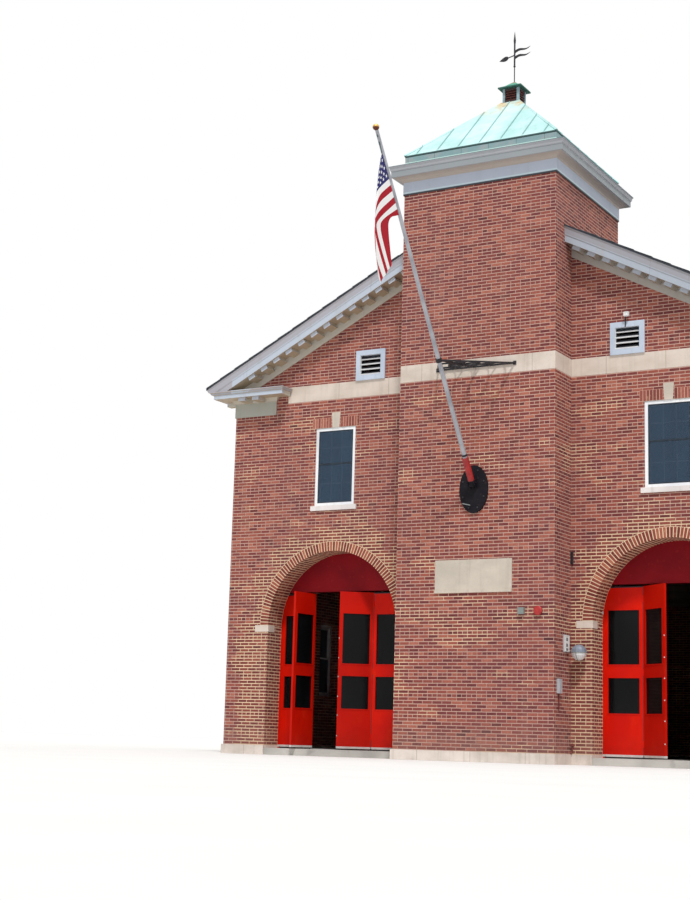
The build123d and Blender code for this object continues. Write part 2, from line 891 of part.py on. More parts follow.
def vane_spindle():
    """The fixed rod, with the collar that the vane turns on."""
    foot = cap_top - cap_peak_height
    top = vane_sleeve_top - spindle_collar_height
    rod = Pos(0, tower_middle, (foot + top) / 2) * Cylinder(spindle_radius, top - foot)
    seat = Plane(origin=(0, tower_middle, vane_sleeve_bottom - seat_clearance - spindle_collar_height))
    collar = turned(seat, [(0, spindle_collar_radius), (spindle_collar_height, spindle_collar_radius)], turning_sides)
    return rod + collar


def vane_shares():
    return [i / vane_steps for i in range(vane_steps)]


def vane_pointer():
    """A slim stem that swells into a leaf and ends in a point, drawn towards -X."""
    leaf = [(vane_leaf_start + (vane_pointer_reach - vane_leaf_start) * share,
             vane_pointer_stem * (1 - share) + vane_pointer_half_height * sin(pi * share ** vane_leaf_fullness))
            for share in vane_shares()]
    upper = [(-x, z) for x, z in [(0, vane_pointer_stem)] + leaf]
    lower = [(x, -z) for x, z in reversed(upper)]
    return make_face(Polyline(*upper, (-vane_pointer_reach, 0), *lower, close=True))


def vane_streamer(level):
    """One wavy tail of the pennon, which narrows to a point."""
    def edge(side):
        return [(vane_tail_reach * share, level + vane_tail_wave * sin(2 * pi * share)
                 + side * vane_tail_half_width * (1 - share ** 2)) for share in vane_shares()]
    return make_face(Polyline(*edge(1), (vane_tail_reach, level), *reversed(edge(-1)), close=True))


def weathervane():
    """The turning sleeve with its spear tip, pointer and forked tail."""
    rod = turned(Plane.XY.offset(vane_sleeve_bottom), [
        (0, vane_sleeve_radius), (vane_sleeve_length, vane_sleeve_radius),
        (vane_sleeve_length + spear_neck_height, spear_radius),
        (vane_sleeve_length + spear_height, spear_tip_radius)], turning_sides)
    plane = Plane(origin=(0, 0, (vane_sleeve_bottom + vane_sleeve_top) / 2), x_dir=(1, 0, 0), z_dir=(0, -1, 0))
    plate_back = plane.offset(-vane_plate_thickness / 2)
    outlines = [vane_pointer(), vane_streamer(vane_tail_spread), vane_streamer(-vane_tail_spread)]
    blades = [Rot(0, 0, -vane_heading) * extrude(plate_back * outline, vane_plate_thickness) for outline in outlines]
    vane = rod + blades
    bore = spindle_radius + spindle_clearance
    depth = vane_sleeve_length - spindle_collar_height + seat_clearance
    vane -= Pos(0, 0, vane_sleeve_bottom + depth / 2) * Cylinder(bore, depth)
    return Pos(0, tower_middle, 0) * vane


def door_posts():
    post = block(leaf_start - door_post_width, leaf_start, front_wall_thickness,
                 front_wall_thickness + door_post_depth, floor_top, door_head_bottom)
    return both_sides(post) + both_sides(other_jamb(post))


def lunette():
    """The door head and the panel that closes the arch above it."""
    start = leaf_start - door_post_width
    head_top = door_head_bottom + door_head_height
    head = block(start, 2 * bay_centre - start, front_wall_thickness, front_wall_thickness + door_post_depth,
                 door_head_bottom, head_top)
    reach = arch_radius + lunette_margin
    back = front_wall_thickness + door_thickness
    panel = disc_along(bay_centre, arch_centre_height, reach, front_wall_thickness, back)
    panel = panel & block(bay_centre - reach, bay_centre + reach, front_wall_thickness, back,
                          head_top, arch_centre_height + reach)
    return head + panel


def pane_spans():
    return (lower_pane_bottom, lower_pane_top), (upper_pane_bottom, upper_pane_top)


def door_leaf(width, start, end):
    """One leaf, hung at X = 0 with its outer face on Y = 0, and its beaded panes centred in its width."""
    leaf = block(start, end, 0, door_thickness, door_bottom, door_head_bottom - leaf_top_gap)
    for bottom, top in pane_spans():
        leaf += block(leaf_border - bead_width, width - leaf_border + bead_width, -bead_projection,
                      door_thickness + bead_projection, bottom - bead_width, top + bead_width)
    for bottom, top in pane_spans():
        leaf -= block(leaf_border, width - leaf_border, -bead_projection, door_thickness + bead_projection,
                      bottom, top)
    return leaf + block(start + weather_bar_inset, end - weather_bar_inset, -weather_bar_projection, 0,
                        door_bottom, door_bottom + weather_bar_height)


def door_panes(width):
    middle = door_thickness / 2
    return [block(leaf_border, width - leaf_border, middle - door_glass_thickness / 2,
                  middle + door_glass_thickness / 2, bottom, top) for bottom, top in pane_spans()]


def leaf_places(angle):
    """Where the leaf in the frame and the leaf folded out from it stand, for the pair nearer the tower."""
    still = Location((leaf_start, door_face, 0))
    folded = Location((leaf_start + outer_leaf_width, door_face, 0), (0, 0, -angle))
    return still, folded


def door_pair(angle):
    still, folded = leaf_places(angle)
    pair = still * door_leaf(outer_leaf_width, 0, outer_leaf_width - leaf_gap)
    pair += folded * door_leaf(inner_leaf_width, leaf_gap, inner_leaf_width)
    for height in hinge_heights:
        barrel = Plane(origin=(leaf_start + outer_leaf_width, door_face, height - hinge_length / 2))
        pair += turned(barrel, [(0, hinge_radius), (hinge_length, hinge_radius)], hinge_sides)
    return pair


def bay_doors():
    return both_sides(door_pair(nearer_leaf_angle)) + both_sides(other_jamb(door_pair(farther_leaf_angle)))


def pair_panes(angle):
    still, folded = leaf_places(angle)
    return [still * pane for pane in door_panes(outer_leaf_width)] + [
            folded * pane for pane in door_panes(inner_leaf_width)]


def door_glass():
    panes = pair_panes(nearer_leaf_angle) + [other_jamb(pane) for pane in pair_panes(farther_leaf_angle)]
    return [twin for pane in panes for twin in both_sides(pane)]


def pole_plane(distance):
    """The plane square to the pole at a distance up from its foot."""
    lean = Vector(0, -1 / tan(radians(pole_rise)), 1).normalized()
    foot = Vector(0, tower_front - pole_foot_standoff, pole_foot_height)
    return Plane(origin=foot + lean * distance, x_dir=(1, 0, 0), z_dir=lean)


def pole_radius(distance):
    return pole_butt_radius + (pole_tip_radius - pole_butt_radius) * distance / pole_length


def flagpole():
    return turned(pole_plane(0), [(0, pole_butt_radius), (pole_length, pole_tip_radius)], pole_sides)


def pole_sleeve():
    radius = pole_butt_radius + pole_sleeve_wall
    return turned(pole_plane(0), [(0, radius), (pole_sleeve_length, radius)], pole_sides) - flagpole()


def pole_ball():
    outline = ball_outline(pole_ball_radius, pole_tip_radius, pole_ball_steps)
    return turned(pole_plane(pole_length), outline, turning_sides)


def flagpole_plate():
    """The oval wall plate, the two cheeks that stand out from it, and the shoe pinned between them."""
    angles = [2 * pi * i / plate_sides for i in range(plate_sides)]
    oval = [(plate_half_width * cos(angle), plate_centre_height + plate_half_height * sin(angle))
            for angle in angles]
    plate = along(oval, tower_front - plate_thickness, tower_front)
    shoe = turned(pole_plane(-shoe_length), [(0, shoe_radius), (shoe_length, shoe_radius)], turning_sides)
    pin = pole_plane(-shoe_length / 2).origin
    outline = [(tower_front, pin.Z + cheek_height / 2), (pin.Y - shoe_radius, pin.Z + shoe_pin_radius),
               (pin.Y - shoe_radius, pin.Z - shoe_pin_radius), (tower_front, pin.Z - cheek_height / 2)]
    cheek = across(outline, shoe_radius - cheek_thickness, shoe_radius + cheek_thickness / 2)
    reach = shoe_radius + 2 * cheek_thickness
    rod_plane = Plane(origin=(-reach, pin.Y, pin.Z), x_dir=(0, 1, 0), z_dir=(1, 0, 0))
    rod = turned(rod_plane, [(0, shoe_pin_radius), (2 * reach, shoe_pin_radius)], turning_sides)
    return plate + shoe + both_sides(cheek) + rod


def flat_bar(start, end, width):
    """A straight strip in the brace's own plane."""
    way = Vector(*end) - Vector(*start)
    middle = (Vector(*start) + Vector(*end)) * 0.5
    return Pos(middle.X, middle.Y) * Rot(0, 0, degrees(atan2(way.Y, way.X))) * Rectangle(way.length, width)


def scroll(x, reach, radius):
    ring = RegularPolygon(radius + brace_scroll_bar / 2, brace_scroll_sides)
    return Pos(x, reach) * (ring - RegularPolygon(radius - brace_scroll_bar / 2, brace_scroll_sides))


def brace_outline(length):
    """The brace seen from above: a wall bar, two raking bars, and scrolls between cross bars."""
    half = brace_half_width
    first_bar = length * brace_first_share
    second_bar = length * brace_second_share
    outline = flat_bar((-half, brace_bar / 2), (half, brace_bar / 2), brace_bar)
    for x in (-half, 0, half):
        outline += flat_bar((0, length), (x, 0), brace_bar)
    for reach in (first_bar, second_bar):
        span = half * (1 - reach / length)
        outline += flat_bar((-span, reach), (span, reach), brace_scroll_bar)
    small = first_bar / 2
    for i in range(brace_small_scrolls):
        outline += scroll(small * (2 * i + 1 - brace_small_scrolls), small, small)
    large = (second_bar - first_bar) / 4
    for x in (-large, large):
        outline += scroll(x, first_bar + large, large)
    return outline + scroll(0, second_bar - large, large)


def flagpole_brace():
    """A level bracket of scrolled iron from the wall out to a collar round the pole."""
    joint = pole_plane(brace_pole_distance)
    start = Vector(0, tower_front, brace_wall_height)
    way = joint.origin - start
    out = way.normalized()
    level = Plane(origin=start, x_dir=(1, 0, 0), z_dir=Vector(1, 0, 0).cross(out))
    body = extrude(level * brace_outline(way.length), brace_bar / 2, both=True)
    radius = pole_radius(brace_pole_distance) + brace_collar_wall
    body += turned(pole_plane(brace_pole_distance - brace_foot_height / 2),
                   [(0, radius), (brace_foot_height, radius)], turning_sides)
    for x in (-brace_half_width, brace_half_width):
        body += block(x - brace_foot_width / 2, x + brace_foot_width / 2, tower_front - brace_bar / 2, tower_front,
                      brace_wall_height - brace_foot_height / 2, brace_wall_height + brace_foot_height / 2)
    behind = block(-tower_half, tower_half, tower_front, tower_front + tower_wall_thickness,
                   string_bottom, string_top)
    return body - behind - flagpole()


def flag():
    """The hanging flag's outer shape, gathered under the upper part of the pole."""
    top = pole_length - flag_top_gap

    def below(distance):
        plane = pole_plane(distance)
        point = plane.origin - plane.y_dir * (pole_radius(distance) + seat_clearance)
        return point.Y, point.Z
    y0, z0 = below(top)
    y1, z1 = below(top - flag_hoist)
    outline = [(y0, z0), (y1, z1), (y0 + flag_waist, z0 - flag_waist_drop), (y0 + flag_corner, z0 - flag_corner_drop),
               (y0 + flag_tip, z0 - flag_tip_drop), (y0, z0 - flag_hem_drop), (y0 - flag_belly, z0 - flag_belly_drop)]
    return across(outline, -flag_half_thickness, flag_half_thickness)


def wall_lamp():
    """A globe under a half-round hood, on a square arm from its wall plate."""
    x = tower_half + lamp_offset
    base = Plane(origin=(x, -lamp_standoff, lamp_height))
    angles = [pi * (i + 1 / 4) / (lamp_steps + 1 / 2) for i in range(lamp_steps + 1)]
    globe = [(lamp_radius * (1 - cos(angle)), lamp_radius * sin(angle)) for angle in angles]
    lamp = turned(base.offset(-lamp_radius), globe, turning_sides)
    hood_radius = lamp_radius + lamp_hood_margin
    hood = [(hood_radius * sin(angle), hood_radius * cos(angle)) for angle in
            [pi / 2 * i / lamp_hood_steps for i in range(lamp_hood_steps)]]
    lamp += turned(base, hood, turning_sides)
    arm = lamp_arm_width / 2
    lamp += block(x - arm, x + arm, -lamp_standoff, 0, lamp_height - arm, lamp_height + arm)
    rose = lamp_rose_width / 2
    return lamp + block(x - rose, x + rose, -lamp_rose_thickness, 0, lamp_height - rose, lamp_height + rose)


def wall_boxes():
    def on_side(width, length, depth, offset, height):
        y = tower_front + offset
        return block(tower_half, tower_half + depth, y - width / 2, y + width / 2,
                     height - length / 2, height + length / 2)
    small = block(small_box_x - small_box / 2, small_box_x + small_box / 2, tower_front - small_box_depth,
                  tower_front, small_box_height - small_box / 2, small_box_height + small_box / 2)
    return [on_side(key_box_width, key_box_length, key_box_depth, key_box_offset, key_box_height),
            on_side(junction_box_width, junction_box_length, junction_box_depth, junction_box_offset,
                    junction_box_height), small]


def alarm_bell():
    """A shallow gong on its backing."""
    wall = Plane(origin=(bell_x, tower_front, bell_height), x_dir=(1, 0, 0), z_dir=(0, -1, 0))
    gong = [(0, bell_back_radius), (bell_back_depth, bell_back_radius), (bell_back_depth, bell_radius),
            (bell_rim_depth, bell_radius), (bell_shoulder_depth, bell_shoulder_radius),
            (bell_depth, bell_face_radius)]
    return turned(wall, gong, turning_sides)


def pieces():
    """Every node's name with its solids."""
    ring = arch_ring()
    side_arch = arch_wall()
    side_front = front_wall()
    side = side_wall()
    roof = roof_slope_solid()
    tower_side = tower_side_wall()
    return {
        "floor_slab": floor_slab(),
        "upper_floor": upper_floor(),
        "plinth_tower": plinth_tower(),
        "plinth_wings": plinth_wings(),
        "plinth_sides": plinth_sides(),
        "plinth_rear": plinth_rear(),
        "tower_front_wall": tower_front_wall(),
        "tower_right_wall": tower_side,
        "tower_left_wall": other_side(tower_side),
        "tower_rear_wall": tower_rear_wall(),
        "bay_piers": bay_piers(),
        "impost_blocks": impost_blocks(),
        "right_arch_wall": side_arch,
        "left_arch_wall": other_side(side_arch),
        "right_arch_ring": ring,
        "left_arch_ring": other_side(ring),
        "right_front_wall": side_front,
        "left_front_wall": other_side(side_front),
        "right_wall": side,
        "left_wall": other_side(side),
        "rear_wall": rear_wall(),
        "string_course": string_course(),
        "window_frames": [place * window_frame() for place in window_places()],
        "window_glass": [place * pane for place in window_places() for pane in window_panes()],
        "window_sills": [place * sill() for place in window_places()],
        "keystones": [place * keystone() for place in window_places()],
        "gable_louvres": both_sides(gable_louvre()),
        "plaque": plaque(),
        "right_roof": roof,
        "left_roof": other_side(roof),
        "eave_cornices": both_sides(eave_cornice()),
        "rake_cornices": rake_cornices(),
        "tower_cornice": tower_cornice(),
        "tower_roof": tower_roof(),
        "roof_vent": roof_vent(),
        "vent_cap": vent_cap(),
        "vane_spindle": vane_spindle(),
        "weathervane": weathervane(),
        "door_posts": door_posts(),
        "lunette_panels": both_sides(lunette()),
        "bay_doors": bay_doors(),
        "door_glass": door_glass(),
        "flagpole_plate": flagpole_plate(),
        "flagpole": flagpole(),
        "pole_sleeve": pole_sleeve(),
        "pole_ball": pole_ball(),
        "flagpole_brace": flagpole_brace(),
        "flag": flag(),
        "wall_lamp": wall_lamp(),
        "wall_boxes": wall_boxes(),
        "alarm_bell": alarm_bell(),
    }


def solids_of(shape):
    if isinstance(shape, list):
        return [solid for item in shape for solid in solids_of(item)]
    return list(shape.solids())


os.makedirs("parts", exist_ok=True)
for name, shape in pieces().items():
    export_step(Compound(children=solids_of(shape)), f"parts/{name}.step")
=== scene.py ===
import bpy
import math
import random
from mathutils import Matrix, Vector


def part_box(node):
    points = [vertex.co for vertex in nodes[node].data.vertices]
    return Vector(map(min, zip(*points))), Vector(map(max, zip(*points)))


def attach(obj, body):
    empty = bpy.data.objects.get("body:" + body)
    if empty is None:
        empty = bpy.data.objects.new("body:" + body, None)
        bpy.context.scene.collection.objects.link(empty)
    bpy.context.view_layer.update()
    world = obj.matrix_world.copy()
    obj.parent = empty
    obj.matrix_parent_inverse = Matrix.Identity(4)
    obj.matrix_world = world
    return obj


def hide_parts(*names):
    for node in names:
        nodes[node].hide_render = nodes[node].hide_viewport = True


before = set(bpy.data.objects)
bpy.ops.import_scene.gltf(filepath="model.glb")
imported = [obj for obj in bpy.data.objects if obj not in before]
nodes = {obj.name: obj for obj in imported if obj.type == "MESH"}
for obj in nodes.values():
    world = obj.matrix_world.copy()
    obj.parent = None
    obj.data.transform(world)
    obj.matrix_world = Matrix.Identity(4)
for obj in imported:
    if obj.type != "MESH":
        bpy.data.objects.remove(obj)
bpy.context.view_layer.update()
print("frame loaded:", len(nodes), "nodes")

facingUp = Vector((0, 0, 1))
facingRight = Vector((1, 0, 0))
facingFront = Vector((0, -1, 0))


# Helpers for picking, adding and joining
def pick(*things):
    bpy.ops.object.select_all(action="DESELECT")
    for thing in things:
        thing.select_set(True)
    bpy.context.view_layer.objects.active = things[0]


def mode(name):
    bpy.ops.object.mode_set(mode=name)


def settle(thing):  # its place goes into its mesh
    pick(thing)
    bpy.ops.object.transform_apply(location=True, rotation=True, scale=True)
    return thing


def useModifier(thing, kind, **settings):
    pick(thing)
    modifier = thing.modifiers.new(kind.title(), kind)
    for key, value in settings.items():
        setattr(modifier, key, value)
    bpy.ops.object.modifier_apply(modifier=modifier.name)
    return thing


def newPiece(name, bevel=0.0, **settings):  # what was just added, settled, named and its edges eased
    thing = settle(bpy.context.object)
    thing.name = name
    if bevel:
        useModifier(thing, "BEVEL", width=bevel, limit_method="ANGLE", **settings)
    return thing


def addBlock(name, low, high, bevel=0.0, segments=1):  # a block between two corners
    low, high = Vector(low), Vector(high)
    bpy.ops.mesh.primitive_cube_add(size=1, location=(low + high) / 2)
    bpy.context.object.scale = high - low
    return newPiece(name, bevel, segments=segments)


def addRound(name, radius, start, end, sides=16, bevel=0.0):  # a round bar from one point to another
    start, end = Vector(start), Vector(end)
    way = end - start
    bpy.ops.mesh.primitive_cylinder_add(vertices=sides, radius=radius, depth=way.length,
                                        location=(start + end) / 2,
                                        rotation=way.to_track_quat("Z", "Y").to_euler())
    return newPiece(name, bevel, segments=2, angle_limit=math.radians(40))


def pickFaces(thing, *ways):  # leaves edit mode on, with the faces picked that look one of these ways
    pick(thing)
    mode("EDIT")
    bpy.ops.mesh.select_mode(type="FACE")
    bpy.ops.mesh.select_all(action="DESELECT")
    mode("OBJECT")
    for face in thing.data.polygons:
        face.select = any(face.normal.dot(way) > 0.9 for way in ways)
    mode("EDIT")


def moveFace(thing, way, shift):
    pickFaces(thing, way)
    bpy.ops.transform.translate(value=shift)
    mode("OBJECT")
    return thing


def sinkFace(thing, way, border, depth):  # a border is kept, and what is inside it is pushed in
    pickFaces(thing, way)
    bpy.ops.mesh.inset(thickness=border, depth=0)
    bpy.ops.mesh.inset(thickness=0.0001, depth=-depth)
    mode("OBJECT")
    return thing


def turnOutwards(thing, merge=True):
    pick(thing)
    mode("EDIT")
    bpy.ops.mesh.select_all(action="SELECT")
    if merge:
        bpy.ops.mesh.remove_doubles(threshold=0.0001)
    bpy.ops.mesh.normals_make_consistent(inside=False)
    mode("OBJECT")
    return thing


def smoothByAngle(thing, degrees):
    pick(thing)
    bpy.ops.object.shade_smooth_by_angle(angle=math.radians(degrees))
    return thing


def copyAt(thing, matrix):
    twin = thing.copy()
    twin.data = thing.data.copy()
    bpy.context.collection.objects.link(twin)
    twin.data.transform(matrix)
    return twin


def joinAll(name, things):
    pick(*things)
    if len(things) > 1:
        bpy.ops.object.join()
    whole = bpy.context.view_layer.objects.active
    whole.name = name
    whole.data.name = name
    return whole


def repeat(name, thing, matrices):  # one model, copied to many places and joined
    twins = [copyAt(thing, matrix) for matrix in matrices]
    bpy.data.objects.remove(thing)
    return joinAll(name, twins)


def shadeEach(thing, facesEach, seed):  # one random shade for each repeated shape
    dice = random.Random(seed)
    shade = thing.data.attributes.new("shade", "FLOAT", "FACE")
    value = 0.0
    for index, face in enumerate(shade.data):
        if index % facesEach == 0:
            value = dice.random()
        face.value = value
    return thing


def dress(thing, paint):  # a new piece gets its finish and its body
    thing.data.materials.clear()
    thing.data.materials.append(paint.material)
    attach(thing, "building")
    return thing


def dressNodes(paint, *names):  # carried-over parts get their finish
    for name in names:
        for slot in nodes[name].material_slots:
            slot.material = paint.material


def solidBoxes(name):  # lowest and highest corners of each solid in a node
    mesh = nodes[name].data
    keys = [tuple(round(c, 4) for c in vertex.co) for vertex in mesh.vertices]
    parent = {key: key for key in keys}

    def root(key):
        while parent[key] != key:
            parent[key] = parent[parent[key]]
            key = parent[key]
        return key
    for face in mesh.polygons:
        first = root(keys[face.vertices[0]])
        for index in face.vertices[1:]:
            parent[root(keys[index])] = first
    groups = {}
    for key in parent:
        groups.setdefault(root(key), []).append(key)
    boxes = [(Vector(map(min, zip(*group))), Vector(map(max, zip(*group)))) for group in groups.values()]
    return sorted(boxes, key=lambda box: tuple(box[0]))


# Shader maths
def mathsNode(kind, mirrored=False):  # an operator that adds a Math node
    def work(first, *rest):
        values = (*rest, first) if mirrored else (first, *rest)
        return first.graph.add("ShaderNodeMath", {"operation": kind}, dict(enumerate(values)))
    return work


class Sock:  # a shader socket that sums can be written with
    def __init__(self, graph, out):
        self.graph, self.out = graph, out

    __add__, __radd__ = mathsNode("ADD"), mathsNode("ADD", True)
    __sub__, __rsub__ = mathsNode("SUBTRACT"), mathsNode("SUBTRACT", True)
    __mul__, __rmul__ = mathsNode("MULTIPLY"), mathsNode("MULTIPLY", True)
    __truediv__, __rtruediv__ = mathsNode("DIVIDE"), mathsNode("DIVIDE", True)
    __gt__, __lt__ = mathsNode("GREATER_THAN"), mathsNode("LESS_THAN")
    __abs__, floor, fract = mathsNode("ABSOLUTE"), mathsNode("FLOOR"), mathsNode("FRACT")
    atMost, atLeast = mathsNode("MINIMUM"), mathsNode("MAXIMUM")
    root, sine, angleTo = mathsNode("SQRT"), mathsNode("SINE"), mathsNode("ARCTAN2")

    def toEdge(self):  # of a share from 0 to 1, the way to its nearer end
        return self.atMost(1 - self)


class Graph:  # a tree of nodes, each made and linked in one place
    def __init__(self, tree):
        self.tree = tree

    def add(self, kind, settings, sockets, out=0):
        node = self.tree.nodes.new(kind)
        for key, value in settings.items():
            if key == "stops":
                stops = node.color_ramp.elements
                for index, (position, colour) in enumerate(value):
                    stop = stops[index] if index < 2 else stops.new(position)
                    stop.position, stop.color = position, tint(colour)
            else:
                setattr(node, key, value)
        for key, value in sockets.items():
            self.put(node.inputs[key], value)
        return Sock(self, node.outputs[out])

    def put(self, socket, value):
        if isinstance(value, Sock):
            self.tree.links.new(value.out, socket)
        else:
            socket.default_value = value


def tint(colour):  # a socket as it is, or a colour as a screen shows it, from 0 to 255
    if isinstance(colour, Sock):
        return colour

    def linear(level):
        share = level / 255
        return share / 12.92 if share <= 0.04045 else ((share + 0.055) / 1.055) ** 2.4
    return (*map(linear, colour), 1.0)


class Paint(Graph):  # a material: its colour is laid on coat by coat, and then it is finished
    def __init__(self, name):
        self.material = bpy.data.materials.new(name)
        self.material.use_nodes = True
        super().__init__(self.material.node_tree)
        self.shader = self.tree.nodes["Principled BSDF"]
        self.place = self.add("ShaderNodeTexCoord", {}, {}, "Object")
        self.x, self.y, self.z = self.split(self.place)

    def split(self, vector):
        first = self.add("ShaderNodeSeparateXYZ", {}, {0: vector})
        return [Sock(self, out) for out in first.out.node.outputs]

    def facing(self):  # which way the surface looks
        return self.split(self.add("ShaderNodeNewGeometry", {}, {}, "Normal"))

    def alongWall(self):  # how far along a wall, whichever way it faces
        sideways = abs(self.facing()[0]) > 0.5
        return self.x * (1 - sideways) + self.y * sideways

    def mix(self, share, first, second):
        sockets = {0: share, 6: tint(first), 7: tint(second)}
        return self.add("ShaderNodeMix", {"data_type": "RGBA"}, sockets, 2)

    def ramp(self, value, *stops):
        return self.add("ShaderNodeValToRGB", {"stops": stops}, {0: value})

    def step(self, value, low, high):  # a soft step from 0 at low to 1 at high
        return self.add("ShaderNodeMapRange", {"interpolation_type": "SMOOTHSTEP"},
                        {"Value": value, "From Min": low, "From Max": high})

    def noise(self, scale, detail=3.0, sizes=None):
        at = self.place
        if sizes:
            at = self.add("ShaderNodeVectorMath", {"operation": "MULTIPLY"}, {0: at, 1: sizes})
        return self.add("ShaderNodeTexNoise", {}, {"Vector": at, "Scale": scale, "Detail": detail}, "Fac")

    def spots(self, low, high, *noise):  # 1 where the noise is over a level
        return self.step(self.noise(*noise), low, high)

    def band(self, low, high, soft=0.004):  # 1 from one height to another
        return self.step(self.z, low - soft, low + soft) * (1 - self.step(self.z, high - soft, high + soft))

    def seams(self, distance, pitch, thin, thick):  # 1 along joints at an even pitch
        return 1 - self.step((distance / pitch + 100).fract().toEdge() * pitch, thin, thick)

    def dice(self, first, second, seed=0.0):  # the same random number for the same pair
        pair = self.add("ShaderNodeCombineXYZ", {}, {0: first, 1: second, 2: seed})
        return self.add("ShaderNodeTexWhiteNoise", {"noise_dimensions": "3D"}, {"Vector": pair}, "Value")

    def shade(self):  # the random shade that each repeated shape has
        return self.add("ShaderNodeAttribute", {"attribute_name": "shade"}, {}, "Fac")

    def bump(self, height, distance, strength=1.0):
        return self.add("ShaderNodeBump", {}, {"Height": height, "Distance": distance, "Strength": strength})

    def ground(self, light, dark, low, high, *noise):  # the first colour, light drifting into dark
        cloud = self.noise(*noise)
        self.colour = self.mix(self.step(cloud, low, high), light, dark)
        return cloud

    def coat(self, share, colour):
        self.colour = self.mix(share, self.colour, colour)

    def finish(self, **sockets):  # a later call changes only the sockets that it names
        names = {"roughness": "Roughness", "metallic": "Metallic", "normal": "Normal", "alpha": "Alpha",
                 "coat": "Coat Weight", "specular": "Specular IOR Level"}
        self.put(self.shader.inputs["Base Color"], self.colour)
        for key, value in sockets.items():
            self.put(self.shader.inputs[names[key]], value)
        return self


# Camera, floor and light
view = {"eye": (13.522, -29.193, 0.318), "yaw": 0.5271, "pitch": 0.1798, "roll": 0.0282,
        "focal": 1602.6, "pictureHeight": 900, "sensor": 36.0, "farthest": 500}


def setCamera():
    yaw, pitch, roll = view["yaw"], view["pitch"], view["roll"]
    forward = Vector((-math.sin(yaw) * math.cos(pitch), math.cos(yaw) * math.cos(pitch), math.sin(pitch)))
    level = Vector((math.cos(yaw), math.sin(yaw), 0))
    upright = level.cross(forward)
    right = level * math.cos(roll) + upright * math.sin(roll)
    up = upright * math.cos(roll) - level * math.sin(roll)
    camera = bpy.data.objects.new("camera", bpy.data.cameras.new("camera"))
    bpy.context.scene.collection.objects.link(camera)
    turn = Matrix((right, up, -forward)).transposed().to_4x4()
    camera.matrix_world = Matrix.Translation(view["eye"]) @ turn
    camera.data.sensor_width = view["sensor"]
    camera.data.lens = view["sensor"] * view["focal"] / view["pictureHeight"]
    camera.data.clip_end = view["farthest"]
    bpy.context.scene.camera = camera


studio = {"sunWay": (-0.62, 0.95, -1.75), "sunStrength": 2.6, "sunSpread": 7.0, "skyStrength": 0.62,
          "sky": (0.93, 0.96, 1.0), "floorSize": 400.0, "floorDrop": 0.002}


def setLight():
    bpy.context.scene.view_settings.view_transform = "Standard"
    lamp = bpy.data.lights.new("key", "SUN")
    lamp.energy, lamp.angle = studio["sunStrength"], math.radians(studio["sunSpread"])
    key = bpy.data.objects.new("key", lamp)
    key.rotation_euler = Vector(studio["sunWay"]).to_track_quat("-Z", "Y").to_euler()
    bpy.context.scene.collection.objects.link(key)


def setSky():  # soft light on the building, and white where the camera, gloss and glass see past it
    world = bpy.data.worlds.new("studio")
    world.use_nodes = True
    bpy.context.scene.world = world
    sky = Graph(world.node_tree)
    background = sky.tree.nodes["Background"]
    sky.put(background.inputs[0], (*studio["sky"], 1))
    sky.put(background.inputs[1], studio["skyStrength"])
    soft = Sock(sky, background.outputs[0])
    white = sky.add("ShaderNodeBackground", {}, {0: (1, 1, 1, 1)})
    camera, glass, gloss = [sky.add("ShaderNodeLightPath", {}, {}, f"Is {kind} Ray")
                            for kind in ("Camera", "Transmission", "Glossy")]
    seen = camera.atLeast(glass).atLeast(gloss)
    blend = sky.add("ShaderNodeMixShader", {}, {0: seen, 1: soft, 2: white})
    sky.put(sky.tree.nodes["World Output"].inputs[0], blend)


def layFloor():
    bpy.ops.mesh.primitive_plane_add(size=studio["floorSize"], location=(0, 0, -studio["floorDrop"]))
    floor = newPiece("floor")
    paint = Paint("floor")
    paint.colour = paint.mix(paint.noise(0.6, 4.0), (226, 224, 220), (236, 234, 230))
    paint.finish(roughness=0.9)
    floor.data.materials.append(paint.material)


setCamera()
setLight()
setSky()
layFloor()
print("camera, floor and light set")

# Brick
brick = {"course": 0.0677, "length": 0.2127, "bedJoint": 0.0165, "headJoint": 0.0115, "headersEvery": 6,
         "bayCentre": 3.710, "archCentre": 2.739, "archRadius": 1.558, "ringDepth": 0.207,
         "wingStart": 1.720, "frontDepth": 2.0, "repointedTo": 7.3}


def nearArch(paint):  # 1 around the arches and over them, fading outwards
    out = abs(paint.x) - brick["bayCentre"]
    rise = (paint.z - brick["archCentre"]).atLeast(0.0)
    reach = (out * out + rise * rise).root() - (brick["archRadius"] + brick["ringDepth"])
    ragged = reach + (paint.noise(2.4, 3.0, (1, 1, 1.6)) - 0.5) * 1.7
    piers = paint.z < brick["archCentre"]
    close = (1 - paint.step(ragged - piers * 0.25, 0.22, 0.42)) * (1 - paint.step(reach, 0.7, 1.1))
    return close * (abs(paint.x) > brick["wingStart"]) * (paint.y < brick["frontDepth"])


